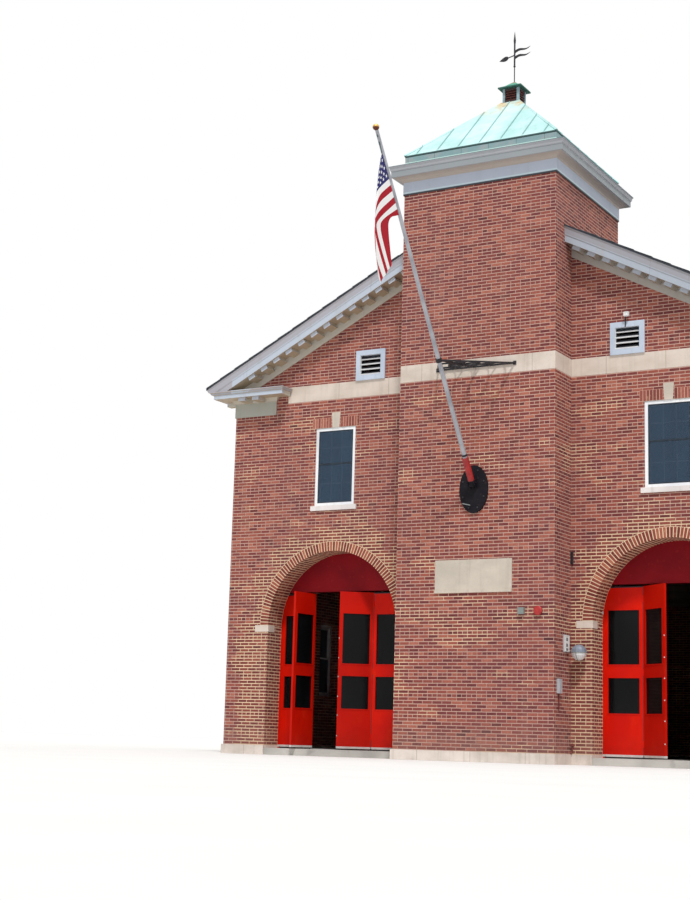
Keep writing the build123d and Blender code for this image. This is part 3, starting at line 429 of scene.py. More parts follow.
def wallPaint():
    paint = Paint("brickwork")
    rows = paint.z / brick["course"]
    row = rows.floor()
    header = (row / brick["headersEvery"]).fract() < 0.1
    length = brick["length"] * (1 - header * 0.5)
    cells = paint.alongWall() / length + (row * 0.5).fract() + 100
    column = cells.floor()
    area = nearArch(paint)
    patches = paint.spots(0.56, 0.62, 0.8, 4.0, (1, 1, 2.6)) * (paint.z < brick["repointedTo"])
    wider = 1 + area * 0.2 + patches * 0.12
    ends = cells.fract().toEdge() * length - brick["headJoint"] / 2 * wider
    beds = rows.fract().toEdge() * brick["course"] - brick["bedJoint"] / 2 * wider
    wobble = (paint.noise(38.0, 2.0) - 0.5) * 0.006
    face = paint.step(ends.atMost(beds) + wobble, -0.0022, 0.0022)
    shade = paint.dice(column, row)
    mottle = paint.noise(26.0, 4.0)
    paint.colour = paint.ramp(shade, (0.0, (102, 46, 44)), (0.2, (118, 56, 52)), (0.5, (134, 68, 58)),
                              (0.8, (152, 80, 64)), (1.0, (174, 104, 84)))
    paint.coat(paint.step(mottle, 0.35, 0.75) * 0.4, (120, 68, 72))
    paint.coat((paint.dice(column, row, 7.3) > 0.985) * 0.5, (46, 26, 30))
    paint.coat(area * 0.35, (116, 52, 42))
    mortar = paint.mix(area.atLeast(patches * 0.7), (208, 170, 154), (244, 214, 176))
    mortar = paint.mix(paint.noise(4.0, 4.0) * 0.5, mortar, (150, 118, 104))
    paint.coat(1 - face, mortar)
    paint.coat(paint.spots(0.35, 0.75, 0.35, 5.0, (1.6, 1.6, 0.6)) * 0.2, (104, 70, 78))
    paint.coat(paint.spots(0.55, 0.8, 1.0, 4.0, (5, 5, 0.28)) * 0.14, (198, 158, 138))
    splash = 1 - paint.step(paint.z, 0.2, 0.9)
    paint.coat(splash * paint.noise(3.0) * 0.4, (150, 128, 116))
    height = face * (0.75 + 0.25 * shade) + paint.noise(160.0, 2.0) * 0.18 + mottle * 0.12
    return paint.finish(roughness=0.84 + 0.1 * (1 - face), specular=0.25,
                        normal=paint.bump(height, 0.007, 0.9))


def looseBrickPaint(name, *stops):  # bricks that are modelled one by one
    paint = Paint(name)
    mottle = paint.noise(24.0, 4.0)
    paint.colour = paint.ramp(paint.shade(), *stops)
    paint.coat(paint.step(mottle, 0.4, 0.75) * 0.4, (120, 66, 58))
    paint.coat(paint.spots(0.58, 0.72, 9.0, 4.0) * 0.3, (214, 178, 140))
    grit = paint.noise(150.0, 2.0)
    return paint.finish(roughness=0.85 + 0.1 * grit, specular=0.25,
                        normal=paint.bump(grit * 0.5 + mottle * 0.5, 0.003, 0.8))


def mortarPaint(name, light, dark):
    paint = Paint(name)
    grit = paint.noise(120.0, 3.0)
    paint.colour = paint.mix(paint.noise(5.0, 4.0), light, dark)
    paint.coat(grit * 0.2, (180, 148, 120))
    return paint.finish(roughness=0.94, specular=0.2, normal=paint.bump(grit, 0.003))


archMortar = mortarPaint("archMortar", (240, 216, 184), (218, 186, 152))
soldierMortar = mortarPaint("soldierMortar", (224, 186, 166), (204, 162, 142))
archBricks = looseBrickPaint("archBricks", (0.0, (104, 46, 40)), (0.35, (128, 62, 52)), (0.75, (146, 76, 62)),
                             (1.0, (172, 104, 80)))
soldierBricks = looseBrickPaint("soldierBricks", (0.0, (112, 58, 54)), (0.4, (136, 74, 66)),
                                (0.8, (152, 88, 76)), (1.0, (170, 108, 92)))
dressNodes(wallPaint(), "tower_front_wall", "tower_left_wall", "tower_right_wall", "tower_rear_wall",
           "bay_piers", "left_arch_wall", "right_arch_wall", "left_front_wall", "right_front_wall",
           "left_wall", "right_wall", "rear_wall")
dressNodes(archMortar, "left_arch_ring", "right_arch_ring")
print("brick finishes made")


# Stone, timber, metal, glass and slate
def stonePaint(name, light, dark, joint=0.0, grime=0.5):
    paint = Paint(name)
    cloud = paint.ground(light, dark, 0.3, 0.75, 1.6, 5.0, (1, 1, 1.6))
    fleck = paint.noise(70.0, 3.0)
    paint.coat(paint.spots(0.5, 0.75, 1.4, 4.0, (7, 7, 0.5)) * grime * 0.5, (132, 120, 104))
    paint.coat(paint.step(fleck, 0.55, 0.75) * 0.25, (120, 108, 92))
    height = fleck * 0.6 + cloud * 0.4
    if joint:  # butt joints between the lengths of stone
        seam = paint.seams(paint.alongWall(), joint, 0.002, 0.006)
        paint.coat(seam * 0.6, (120, 104, 90))
        height = height - seam
    return paint.finish(roughness=0.75 + 0.2 * fleck, specular=0.3, normal=paint.bump(height, 0.004, 0.7))


def timberPaint(name, light, dark, dirt, gloss=0.45):
    paint = Paint(name)
    paint.ground(light, dark, 0.3, 0.7, 1.1, 4.0)
    grain = paint.noise(3.0, 5.0, (1, 1, 14))
    grime = paint.spots(0.52, 0.78, 2.2, 5.0, (4, 4, 0.7))
    paint.coat(grime * 0.35, dirt)
    flakes = paint.spots(0.66, 0.7, 34.0, 5.0)
    paint.coat(flakes * 0.45, (150, 140, 126))
    return paint.finish(roughness=gloss + 0.2 * grain + 0.2 * grime,
                        normal=paint.bump(grain * 0.4 - flakes * 0.6, 0.002, 0.6))


louvres = {"centre": 2.885, "halfOpening": 0.247, "bottom": 8.058, "top": 8.497}


def louvrePaint():  # pale slats, darkened inwards as painted shade between them, in a frame of blue-grey
    paint = timberPaint("louvrePaint", (192, 202, 216), (174, 186, 202), (126, 134, 144))
    slats = paint.band(louvres["bottom"], louvres["top"], 0.002) * (
        abs(abs(paint.x) - louvres["centre"]) < louvres["halfOpening"])
    # painted shade: the slats go from white at the front to near black at the back, for the shade between
    # them
    paint.coat(slats, paint.mix(paint.step(paint.y, 0.004, 0.050), (236, 236, 236), (58, 60, 66)))
    return paint.finish()


roof = {"slope": 0.515, "exposure": 0.205, "width": 0.262, "gap": 0.004, "thickness": 0.007, "length": 0.42,
        "lift": 0.004, "tail": 0.012, "towerGap": 0.02, "slateFaces": 6, "ridgeWidth": 0.16,
        "ridgeLength": 0.60, "ridgeThickness": 0.02, "ridgeLift": 0.012, "ridgeGap": 0.006}
roofPitch = math.atan(roof["slope"])
lowRoof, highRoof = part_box("right_roof")
cornice = {"side": 6.304, "rear": 16.0, "crownFoot": 7.836, "rakeDepth": 0.72, "rakeEnd": 6.2,
           "boardLength": 3.1}


def belowRidge(paint):  # 0 on the slates, and less the further below them
    return paint.z + roof["slope"] * abs(paint.x) - highRoof.z


def cornicePaint():  # upright faces cooler, faces that look down a warm grey as painted shade, the right-hand rakes darkened as painted shade
    paint = Paint("cornicePaint")
    paint.colour = paint.mix(paint.noise(0.9, 4.0), (192, 194, 202), (172, 176, 188))
    front = 0 - paint.y
    out = front.atLeast(abs(paint.x) - cornice["side"]).atLeast(paint.y - cornice["rear"])
    slope = belowRidge(paint)
    sloping = paint.step(front, 0.0, 0.005) * (slope > -cornice["rakeDepth"]) * (
        abs(paint.x) < cornice["rakeEnd"])
    crown = paint.step(paint.z, cornice["crownFoot"] - 0.004, cornice["crownFoot"] + 0.004) * (1 - sloping)
    crown = crown.atLeast(sloping * paint.step(slope, -0.20, -0.18))
    paint.coat(crown * 0.9, (164, 162, 168))
    paint.coat(paint.step(out, 0.30, 0.36) * (1 - crown) * 0.8, (180, 190, 202))
    frieze = 1 - paint.step(out, 0.030, 0.034)
    paint.coat(frieze * 0.8, (190, 180, 162))
    paint.coat(frieze * (paint.z < cornice["crownFoot"] + 0.004) * 0.8, (160, 162, 152))
    blocks = paint.step(out, 0.034, 0.040) * (1 - paint.step(out, 0.290, 0.300)) * (1 - crown)
    paint.coat(blocks * 0.8, (200, 194, 176))
    # painted shade: faces that look down are coated warm brown-grey, for the shade under the soffits and
    # between the modillions
    paint.coat(paint.step(0 - paint.facing()[2], 0.3, 0.8) * 0.85, (168, 146, 116))
    # painted shade: the rakes on the right-hand side are darkened, for the shade that side lies in
    paint.coat(sloping * (paint.x > 0) * 0.35, (122, 124, 130))
    grime = paint.spots(0.5, 0.8, 1.5, 5.0, (3, 3, 1))
    paint.coat(grime * 0.3, (152, 142, 128))
    seam = paint.seams(paint.x + paint.y, cornice["boardLength"], 0.002, 0.008)
    paint.coat(seam * 0.35, (120, 116, 112))
    flakes = paint.spots(0.67, 0.71, 28.0, 5.0)
    paint.coat(flakes * 0.35, (150, 138, 122))
    return paint.finish(roughness=0.5 + 0.25 * grime, normal=paint.bump(0 - flakes - seam, 0.002, 0.6))


tower = {"wallTop": 11.620, "friezeTop": 11.910, "coveTop": 11.990, "fasciaTop": 12.115, "crownTop": 12.220,
         "middle": 0.9065, "halfWidth": 1.7200, "halfDepth": 1.7525}


def towerCornicePaint():  # grey frieze, warm cove darkened as painted shade, pale fascia, mauve crown, with a painted highlight and a painted shadow at the foot
    paint = Paint("towerCornicePaint")
    foot, lip = tower["wallTop"], tower["crownTop"]
    cloud = paint.noise(0.8, 4.0)
    paint.colour = paint.mix(cloud, (186, 194, 208), (170, 178, 194))
    # painted shade: the cove is coated a darker warm tone, for the shade under the fascia
    paint.coat(paint.band(tower["friezeTop"] - 0.01, tower["coveTop"]) * 0.8, (168, 150, 132))
    fascia = paint.band(tower["coveTop"], tower["fasciaTop"])
    paint.coat(fascia, paint.mix(cloud, (148, 154, 156), (134, 140, 144)))
    crown = paint.band(tower["fasciaTop"], lip - 0.012)
    paint.coat(crown, paint.mix(cloud, (172, 174, 178), (154, 156, 162)))
    paint.coat(paint.step(paint.z, lip - 0.020, lip - 0.012), (104, 116, 122))
    streaks = paint.spots(0.5, 0.8, 1.2, 4.0, (5, 5, 0.6))
    paint.coat(streaks * 0.12, (140, 138, 134))
    # painted highlight: a pale band along the frieze's foot, for its lit lower edge
    paint.coat(paint.band(foot + 0.036, foot + 0.070) * 0.7, (196, 218, 222))
    # painted shadow: the lowest few centimetres of the frieze go near black, for the shadow line at the top
    # of the brick
    paint.coat(1 - paint.step(paint.z, foot + 0.028, foot + 0.038), (44, 52, 58))
    flakes = paint.spots(0.68, 0.72, 26.0, 5.0)
    paint.coat(flakes * 0.3, (150, 142, 132))
    return paint.finish(roughness=0.5 + 0.2 * streaks, normal=paint.bump(0 - flakes, 0.002, 0.6))


copper = {"bandBottom": 12.325, "bandTop": 12.475, "ribFoot": 12.529, "sheet": 0.62, "rib": 0.480}


def copperPaint():
    paint = Paint("copperPatina")
    cloud = paint.ground((206, 234, 234), (172, 214, 210), 0.3, 0.72, 1.3, 5.0)
    paint.coat(paint.spots(0.48, 0.78, 1.6, 5.0, (4, 4, 0.35)) * 0.3, (140, 182, 176))
    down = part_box("tower_roof")[1].z - paint.z
    rust = (1 - paint.step(down, 0.0, 0.62)) * paint.spots(0.36, 0.62, 2.6, 4.0, (1.6, 1.6, 0.5))
    paint.coat(rust * 0.75, (214, 178, 112))
    paint.coat(rust * paint.spots(0.5, 0.7, 7.0) * 0.6, (170, 104, 52))
    low, high = copper["bandBottom"], copper["bandTop"]
    band = paint.band(low, high)
    blotch = paint.spots(0.42, 0.62, 3.0, 4.0, (1, 1, 2.5))
    paint.coat(band * 0.9, paint.mix(blotch, (122, 148, 152), (146, 152, 154)))
    wash = 1 - paint.step(paint.z, low - 0.012, low - 0.004)
    paint.coat(wash * 0.6, (150, 146, 148))
    seam = paint.seams(paint.x + paint.y, copper["sheet"], 0.003, 0.010) * band
    paint.coat(seam * 0.6, (66, 96, 92))
    # painted shadow: a dark band at the top of the copper band, for the shadow under the pyramid's eave
    eave = 1 - paint.step(paint.z, high + 0.024, high + 0.028)
    paint.coat(eave * paint.step(paint.z, high - 0.018, high - 0.012) * 0.9, (28, 58, 60))
    paint.coat(paint.band(low - 0.004, low + 0.022, 0.003) * 0.8, (206, 234, 224))
    depth = paint.y - tower["middle"]
    sideways = (tower["halfWidth"] - abs(paint.x)) * tower["halfDepth"] / tower["halfWidth"] < (
        tower["halfDepth"] - abs(depth))
    along = paint.x * (1 - sideways) + depth * sideways
    ribs = (along / copper["rib"] + 100.5).fract()
    rib = (1 - paint.step(abs(ribs - 0.5) * copper["rib"], 0.008, 0.016)) * (paint.z > copper["ribFoot"])
    paint.coat(rib * 0.55, (96, 132, 130))
    fleck = paint.noise(46.0, 3.0)
    return paint.finish(roughness=0.62 + 0.25 * fleck, metallic=0.1,
                        normal=paint.bump(fleck * 0.4 + cloud * 0.6, 0.004, 0.6))


def capPaint():
    paint = Paint("capPatina")
    low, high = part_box("vent_cap")
    cloud = paint.noise(6.0, 4.0)
    paint.colour = paint.mix(cloud, (58, 132, 112), (96, 172, 146))
    paint.coat((1 - paint.step(paint.z, low.z + 0.02, low.z + 0.035)) * 0.8, (26, 62, 58))
    paint.coat(paint.step(paint.z, high.z - 0.07, high.z) * 0.85, (168, 118, 80))
    return paint.finish(roughness=0.6 + 0.2 * cloud, metallic=0.15, normal=paint.bump(cloud, 0.004))


def ventPaint():  # pale corner posts, dark red slats between them
    paint = Paint("ventPaint")
    low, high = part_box("roof_vent")
    middle = (low + high) / 2
    post = abs(paint.x - middle.x).atMost(abs(paint.y - middle.y)) > (high.x - low.x) / 2 - 0.052
    rail = (paint.z < low.z + 0.05).atLeast(paint.z > high.z - 0.05)
    rust = paint.noise(12.0, 4.0)
    paint.colour = paint.mix(rust, (104, 40, 34), (58, 30, 30))
    paint.coat(post, paint.mix(rust, (158, 184, 192), (104, 132, 138)))
    paint.coat(rail * (1 - post), (60, 46, 46))
    return paint.finish(roughness=0.5 + 0.3 * rust, normal=paint.bump(rust, 0.003))


def metalPaint(name, light, dark, roughness, metallic, scale, wear=None):
    paint = Paint(name)
    cloud = paint.ground(light, dark, 0.3, 0.7, scale, 5.0)
    if wear:
        paint.coat(paint.spots(0.6, 0.68, scale * 2.3, 5.0), wear)
    return paint.finish(roughness=roughness + 0.15 * cloud, metallic=metallic,
                        normal=paint.bump(paint.noise(scale * 5), 0.001, 0.5))


def giltPaint():  # gold leaf, its lower part darkened as painted shade
    paint = Paint("gilt")
    low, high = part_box("pole_ball")
    cloud = paint.noise(22.0, 4.0)
    paint.colour = paint.mix(cloud, (238, 200, 120), (214, 164, 82))
    height = (paint.z - low.z) / (high.z - low.z)
    # painted shade: the lower half of the ball goes dark brown
    paint.coat(1 - paint.step(height, 0.35, 0.62), (96, 50, 34))
    return paint.finish(roughness=0.25 + 0.15 * cloud, metallic=0.6, normal=paint.bump(cloud, 0.001))


def enamelPaint():  # grey boxes, the small one high on the front darker
    paint = Paint("greyEnamel")
    smallBoxFrom = 2.7
    paint.colour = paint.mix(paint.noise(10.0, 4.0), (190, 194, 198), (164, 168, 174))
    paint.coat(paint.z > smallBoxFrom, (126, 134, 130))
    return paint.finish(roughness=0.4 + 0.15 * paint.noise(8.0, 5.0), metallic=0.2,
                        normal=paint.bump(paint.noise(40.0), 0.001, 0.5))


doors = {"bottom": 0.170, "barTop": 0.212, "face": 0.56, "top": 3.440, "start": 2.185, "hinge": 2.973,
         "farHinge": 4.447, "end": 5.235, "edge": (3.548, 0.110), "edgeWay": (0.788, -0.616), "strip": 0.006,
         "studs": (0.430, 0.853, 1.241, 1.650, 2.042, 2.456), "studRadius": 0.011}


def redPaint():  # gloss red, the folded leaves darkened as painted shade, with a pale bar along the feet
    paint = Paint("redGloss")
    paint.ground((218, 24, 0), (200, 16, 2), 0.3, 0.75, 1.4, 4.0)
    rubbed = paint.spots(0.56, 0.74, 5.0, 5.0, (1, 1, 0.4))
    paint.coat(rubbed * 0.25, (232, 56, 20))
    dirt = (1 - paint.step(paint.z, 0.2, 0.75)) * paint.noise(6.0, 4.0)
    paint.coat(dirt * 0.35, (120, 40, 32))
    # painted shade: the folded leaves, standing forward of the door face, are darkened
    paint.coat(paint.step(doors["face"] - paint.y, 0.004, 0.02) * 0.35, (136, 12, 6))
    bar = (paint.z > doors["bottom"] - 0.001) * (paint.z < doors["barTop"])
    paint.coat(bar, paint.mix(paint.noise(9.0, 3.0), (222, 218, 214), (172, 166, 162)))
    return paint.finish(roughness=0.42 + 0.2 * rubbed, specular=0.12,
                        normal=paint.bump(paint.noise(7.0, 2.0, (1, 1, 0.5)), 0.002, 0.4))


def lunettePaint():
    paint = Paint("lunetteRed")
    cloud = paint.ground((146, 14, 26), (120, 10, 22), 0.3, 0.75, 1.2, 4.0)
    paint.coat(paint.spots(0.62, 0.7, 16.0, 4.0) * 0.2, (190, 60, 50))
    return paint.finish(roughness=0.5 + 0.2 * cloud, specular=0.15,
                        normal=paint.bump(paint.noise(5.0, 2.0), 0.002, 0.4))


def glassPaint(name, light, dark, alpha, gloss):
    paint = Paint(name)
    paint.ground(light, dark, 0.35, 0.7, 0.9, 3.0, (1, 1, 0.45))
    return paint.finish(roughness=0.06 + 0.12 * paint.noise(30.0, 4.0), alpha=alpha, specular=gloss,
                        normal=paint.bump(paint.noise(1.6, 1.0), 0.004, 0.3))


def slatePaint():
    paint = Paint("slates")
    paint.colour = paint.ramp(paint.shade(), (0.0, (62, 66, 74)), (0.4, (84, 88, 96)), (0.75, (96, 96, 102)),
                              (1.0, (112, 104, 108)))
    paint.coat(paint.spots(0.4, 0.75, 1.1, 5.0) * 0.4, (70, 76, 72))
    split = paint.noise(26.0, 5.0, (1, 0.4, 1))
    return paint.finish(roughness=0.5 + 0.3 * split, normal=paint.bump(split, 0.004, 0.8))


def deckPaint():
    paint = Paint("roofDeck")
    grain = paint.noise(5.0, 5.0, (1, 8, 1))
    paint.colour = paint.mix(grain, (150, 138, 122), (108, 98, 88))
    paint.coat(paint.step(belowRidge(paint), -0.052, -0.044), (40, 44, 52))
    return paint.finish(roughness=0.7 + 0.2 * grain, normal=paint.bump(grain, 0.004))


def concretePaint():
    paint = Paint("concreteFloor")
    paint.ground((196, 192, 184), (160, 156, 150), 0.3, 0.75, 0.9, 5.0)
    paint.coat(paint.spots(0.6, 0.72, 2.3, 4.0) * 0.4, (112, 108, 104))
    fleck = paint.noise(60.0, 3.0)
    return paint.finish(roughness=0.8 + 0.15 * fleck, normal=paint.bump(fleck, 0.003))


def lampPaint():  # a grey hood over an opal globe
    paint = Paint("lampGlass")
    low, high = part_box("wall_lamp")
    middle = (low.z + high.z) / 2
    dust = paint.noise(18.0, 4.0)
    paint.colour = paint.mix(dust, (226, 226, 224), (200, 200, 200))
    hood = paint.step(paint.z, middle - 0.004, middle + 0.004).atLeast(paint.y > -0.06)
    paint.coat(hood, paint.mix(dust, (130, 138, 152), (102, 110, 124)))
    return paint.finish(roughness=0.25 + 0.2 * dust, coat=0.3, normal=paint.bump(dust, 0.001))


whitePaint = timberPaint("whitePaint", (240, 240, 240), (226, 228, 232), (168, 162, 156), 0.4)
blackIron = metalPaint("blackIron", (34, 32, 38), (22, 22, 26), 0.5, 0.2, 12.0, (56, 44, 40))
plateIron = metalPaint("plateIron", (26, 22, 28), (16, 14, 20), 0.6, 0.0, 8.0, (44, 34, 34))
plateIron.finish(specular=0.15)
darkGrey = metalPaint("darkGrey", (128, 134, 132), (104, 110, 108), 0.5, 0.1, 10.0)
fittingDark = metalPaint("fittingDark", (40, 38, 44), (24, 24, 28), 0.5, 0.2, 16.0)
fittingRed = metalPaint("fittingRed", (122, 52, 50), (92, 36, 38), 0.5, 0.1, 16.0)
fittingPale = metalPaint("fittingPale", (232, 232, 230), (206, 206, 204), 0.5, 0.0, 16.0)
fittingGreen = metalPaint("fittingGreen", (84, 108, 108), (52, 72, 74), 0.5, 0.2, 18.0)

for paint, *names in (
        (stonePaint("limestone", (216, 202, 190), (196, 182, 168), 1.22, 0.35),
         "impost_blocks", "string_course"),
        (stonePaint("wornStone", (206, 194, 180), (186, 176, 162), 0.0, 0.45), "keystones", "plaque"),
        (stonePaint("baseStone", (224, 212, 202), (196, 184, 174), 1.15, 0.6),
         "plinth_tower", "plinth_wings", "plinth_sides", "plinth_rear"),
        (timberPaint("sillPaint", (228, 220, 216), (210, 204, 200), (160, 148, 140), 0.5), "window_sills"),
        (whitePaint, "window_frames"),
        (louvrePaint(), "gable_louvres"),
        (cornicePaint(), "eave_cornices", "rake_cornices"),
        (towerCornicePaint(), "tower_cornice"),
        (copperPaint(), "tower_roof"),
        (capPaint(), "vent_cap"),
        (ventPaint(), "roof_vent"),
        (blackIron, "vane_spindle", "weathervane", "flagpole_brace"),
        (plateIron, "flagpole_plate"),
        (metalPaint("poleMetal", (176, 178, 184), (148, 150, 158), 0.4, 0.35, 3.0), "flagpole"),
        (metalPaint("sleeveRed", (176, 34, 34), (148, 24, 28), 0.35, 0.0, 9.0, (120, 60, 50)), "pole_sleeve"),
        (metalPaint("bellRed", (178, 40, 36), (150, 30, 30), 0.35, 0.0, 16.0), "alarm_bell"),
        (giltPaint(), "pole_ball"),
        (enamelPaint(), "wall_boxes"),
        (glassPaint("windowGlass", (66, 82, 98), (44, 56, 72), 0.92, 0.5), "window_glass"),
        # the door glass is near black and nearly opaque: painted shade, for the dark bay seen through it
        (glassPaint("doorGlass", (20, 20, 22), (8, 8, 10), 0.94, 0.12), "door_glass"),
        (redPaint(), "bay_doors", "door_posts"),
        (lunettePaint(), "lunette_panels"),
        (deckPaint(), "left_roof", "right_roof"),
        (concretePaint(), "floor_slab", "upper_floor"),
        (lampPaint(), "wall_lamp")):
    dressNodes(paint, *names)
print("finishes made")

# Arch bricks: wedges round each doorway, three deep, of two kinds that take turns
archBrick = {"count": 76, "joint": 0.018, "proud": 0.004, "ease": 0.003,
             "rows": ((0.0, 0.204), (0.216, 0.318), (0.330, 0.536)),
             "offRows": ((0.0, 0.100), (0.112, 0.318), (0.330, 0.536))}


def archWedge(rows, pitch):
    wedges = []
    inner = brick["archRadius"] - archBrick["proud"] / 2
    outer = brick["archRadius"] + brick["ringDepth"] - archBrick["joint"] / 2
    half = (inner * pitch - archBrick["joint"]) / 2
    widen = (outer * pitch - archBrick["joint"]) / (2 * half)
    for start, end in rows:
        front = start - archBrick["proud"] if start == 0 else start
        wedge = addBlock("wedge", (-half, front, inner), (half, end, outer))
        pickFaces(wedge, facingUp)
        bpy.ops.transform.resize(value=(widen, 1, 1), center_override=(0, 0, 0))
        mode("OBJECT")
        wedges.append(useModifier(wedge, "BEVEL", width=archBrick["ease"], segments=1))
    return joinAll("wedges", wedges)


def archBrickRing(name, side, seed):
    pitch = math.pi / archBrick["count"]
    wedges = [archWedge(archBrick[kind], pitch) for kind in ("rows", "offRows")]
    facesEach = len(wedges[0].data.polygons) // len(archBrick["rows"])
    place = Matrix.Translation((side * brick["bayCentre"], 0, brick["archCentre"]))
    twins = []
    for index in range(archBrick["count"]):
        turn = pitch * (index + 0.5) - math.pi / 2
        twins.append(copyAt(wedges[index % 2], place @ Matrix.Rotation(turn, 4, "Y")))
    for wedge in wedges:
        bpy.data.objects.remove(wedge)
    dress(shadeEach(joinAll(name, twins), facesEach, seed), archBricks)


archBrickRing("rightArchBricks", 1, 11)
archBrickRing("leftArchBricks", -1, 12)
print("arch bricks laid")

# Windows: bars, screens and the bricks on end over them
windows = {"width": 0.980, "height": 1.702, "frame": 0.066, "setback": 0.015, "rail": 0.910, "sash": 0.040,
           "upperFace": 0.028, "lowerFace": 0.064, "bar": 0.020, "barSet": 0.004, "barDepth": 0.014,
           "screenFace": 0.010, "screenDepth": 0.006, "screenRim": 0.022, "rimProud": 0.004,
           "railHalf": 0.016, "railProud": 0.006, "ease": 0.003}
soldiers = {"count": 7, "height": 0.218, "start": 0.112, "end": 0.585, "depth": 0.030, "proud": 0.004,
            "joint": 0.010, "lean": 0.004, "foot": 0.006}


def windowPlaces():  # for each frame, a matrix that stands a window there, facing out
    places = []
    for low, high in solidBoxes("window_frames"):
        middle = (low + high) / 2
        if high.x - low.x > high.y - low.y:
            rear = middle.y > cornice["rear"] / 2
            spot = (middle.x, high.y if rear else low.y, low.z)
            turn = math.pi if rear else 0
        else:
            right = middle.x > 0
            spot = (high.x if right else low.x, middle.y, low.z)
            turn = math.pi / 2 if right else -math.pi / 2
        places.append(Matrix.Translation(spot) @ Matrix.Rotation(turn, 4, "Z"))
    return places


def windowBars(places):  # six panes to a sash
    half = windows["width"] / 2 - windows["frame"] - windows["sash"]
    overlap, bar = windows["sash"] / 2, windows["bar"] / 2
    upper = windows["upperFace"], windows["rail"] - overlap, windows["height"] - windows["frame"]
    lower = windows["lowerFace"], windows["frame"], windows["rail"] + overlap
    bars = []
    for face, bottom, top in (upper, lower):
        low, high = bottom + windows["sash"], top - windows["sash"]
        front = face + windows["barSet"]
        back = front + windows["barDepth"]
        for x in (-1 / 3 * half, 1 / 3 * half):
            bars.append(addBlock("bar", (x - bar, front, low), (x + bar, back, high), windows["ease"]))
        middle = (low + high) / 2
        bars.append(addBlock("bar", (-half, front, middle - bar), (half, back, middle + bar),
                             windows["ease"]))
    dress(repeat("windowBars", joinAll("bars", bars), places), whitePaint)


def screenPaint():
    paint = Paint("screenMesh")
    dust = paint.noise(3.0, 4.0, (1, 1, 0.3))
    paint.colour = paint.mix(dust, (44, 70, 92), (30, 50, 70))
    return paint.finish(roughness=0.55 + 0.2 * dust, alpha=0.70,
                        normal=paint.bump(paint.noise(220.0, 2.0), 0.001, 0.5))


def windowScreens(places):  # a fine insect screen in a slim rim, with a middle bar
    half = windows["width"] / 2 - windows["frame"]
    low, high = windows["frame"], windows["height"] - windows["frame"]
    front = windows["screenFace"]
    back = front + windows["screenDepth"]
    sheet = addBlock("sheet", (-half, front, low), (half, back, high), 0.001)
    dress(repeat("screenSheets", sheet, places), screenPaint())
    proud, thick = windows["rimProud"], windows["railHalf"]
    rim = addBlock("rim", (-half, front - proud, low), (half, back + proud, high))
    pickFaces(rim, facingFront, -facingFront)
    bpy.ops.mesh.inset(thickness=windows["screenRim"], depth=0)
    bpy.ops.mesh.bridge_edge_loops()
    mode("OBJECT")
    useModifier(rim, "BEVEL", width=0.002, segments=1)
    rail = addBlock("rail", (-half, front - windows["railProud"], windows["rail"] - thick),
                    (half, back, windows["rail"] + thick), windows["ease"])
    paint = metalPaint("screenRim", (40, 50, 60), (30, 38, 48), 0.5, 0.3, 14.0)
    dress(repeat("screenRims", joinAll("rim", [rim, rail]), places), paint)


def soldierCourses(places):  # bricks on end, either side of each keystone, on a bed of mortar
    start, end, depth, height = [soldiers[key] for key in ("start", "end", "depth", "height")]
    pitch = (end - start) / soldiers["count"]
    half = (pitch - soldiers["joint"]) / 2
    bricks, backs = [], []
    for side in (-1, 1):
        for index in range(soldiers["count"]):
            x = side * (start + pitch * (index + 0.5))
            stone = addBlock("soldier", (x - half, -soldiers["proud"], soldiers["foot"]),
                             (x + half, depth, height), windows["ease"])
            bricks.append(moveFace(stone, facingUp, (side * soldiers["lean"] * (index + 1), 0, 0)))
        low, high = sorted((side * start, side * end))
        backs.append(addBlock("back", (low, -0.001, 0.0), (high, depth - 0.005, height + 0.004), 0.0005))
    facesEach = len(bricks[0].data.polygons)
    raised = [place @ Matrix.Translation((0, -windows["setback"], windows["height"])) for place in places]
    whole = repeat("soldierBricks", joinAll("soldiers", bricks), raised)
    dress(shadeEach(whole, facesEach, 21), soldierBricks)
    dress(repeat("soldierMortar", joinAll("backs", backs), raised), soldierMortar)


windowSpots = windowPlaces()
windowBars(windowSpots)
windowScreens(windowSpots)
soldierCourses(windowSpots)
print("windows fitted:", len(windowSpots))

# Slates on both slopes, and the ridge
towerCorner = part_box("tower_rear_wall")[1]
slates = slatePaint()


def slateRow(row, rowCount, total):
    down = (rowCount - row) * total / rowCount  # from the ridge to the row's lower edge
    x = down * math.cos(roofPitch)
    besideTower = x - roof["length"] < towerCorner.x
    start = towerCorner.y + roof["towerGap"] if besideTower else lowRoof.y
    shift = roof["width"] / 2 if row % 2 else 0.0
    count = int((highRoof.y - start - shift) / roof["width"])
    slate = addBlock("slate", (0, 0, 0), (roof["length"], roof["width"] - roof["gap"], roof["thickness"]))
    moveFace(slate, facingRight, (0, 0, roof["tail"]))  # the lower edge rides on the row below
    useModifier(slate, "ARRAY", use_relative_offset=False, use_constant_offset=True,
                constant_offset_displace=(0, roof["width"], 0), count=count)
    edge = Vector((x, start + shift, highRoof.z - roof["slope"] * x + roof["lift"]))
    upper = edge - Vector((math.cos(roofPitch), 0, -math.sin(roofPitch))) * min(roof["length"], down)
    slate.data.transform(Matrix.Translation(upper) @ Matrix.Rotation(roofPitch, 4, "Y"))
    return slate


def slopeOfSlates(name, side, seed):
    total = highRoof.x / math.cos(roofPitch)
    rowCount = int(total / roof["exposure"])
    slope = joinAll(name, [slateRow(row, rowCount, total) for row in range(rowCount - 1)])
    if side < 0:
        pick(slope)
        bpy.ops.transform.mirror(constraint_axis=(True, False, False), center_override=(0, 0, 0))
        turnOutwards(settle(slope), merge=False)
    dress(shadeEach(slope, roof["slateFaces"], seed), slates)


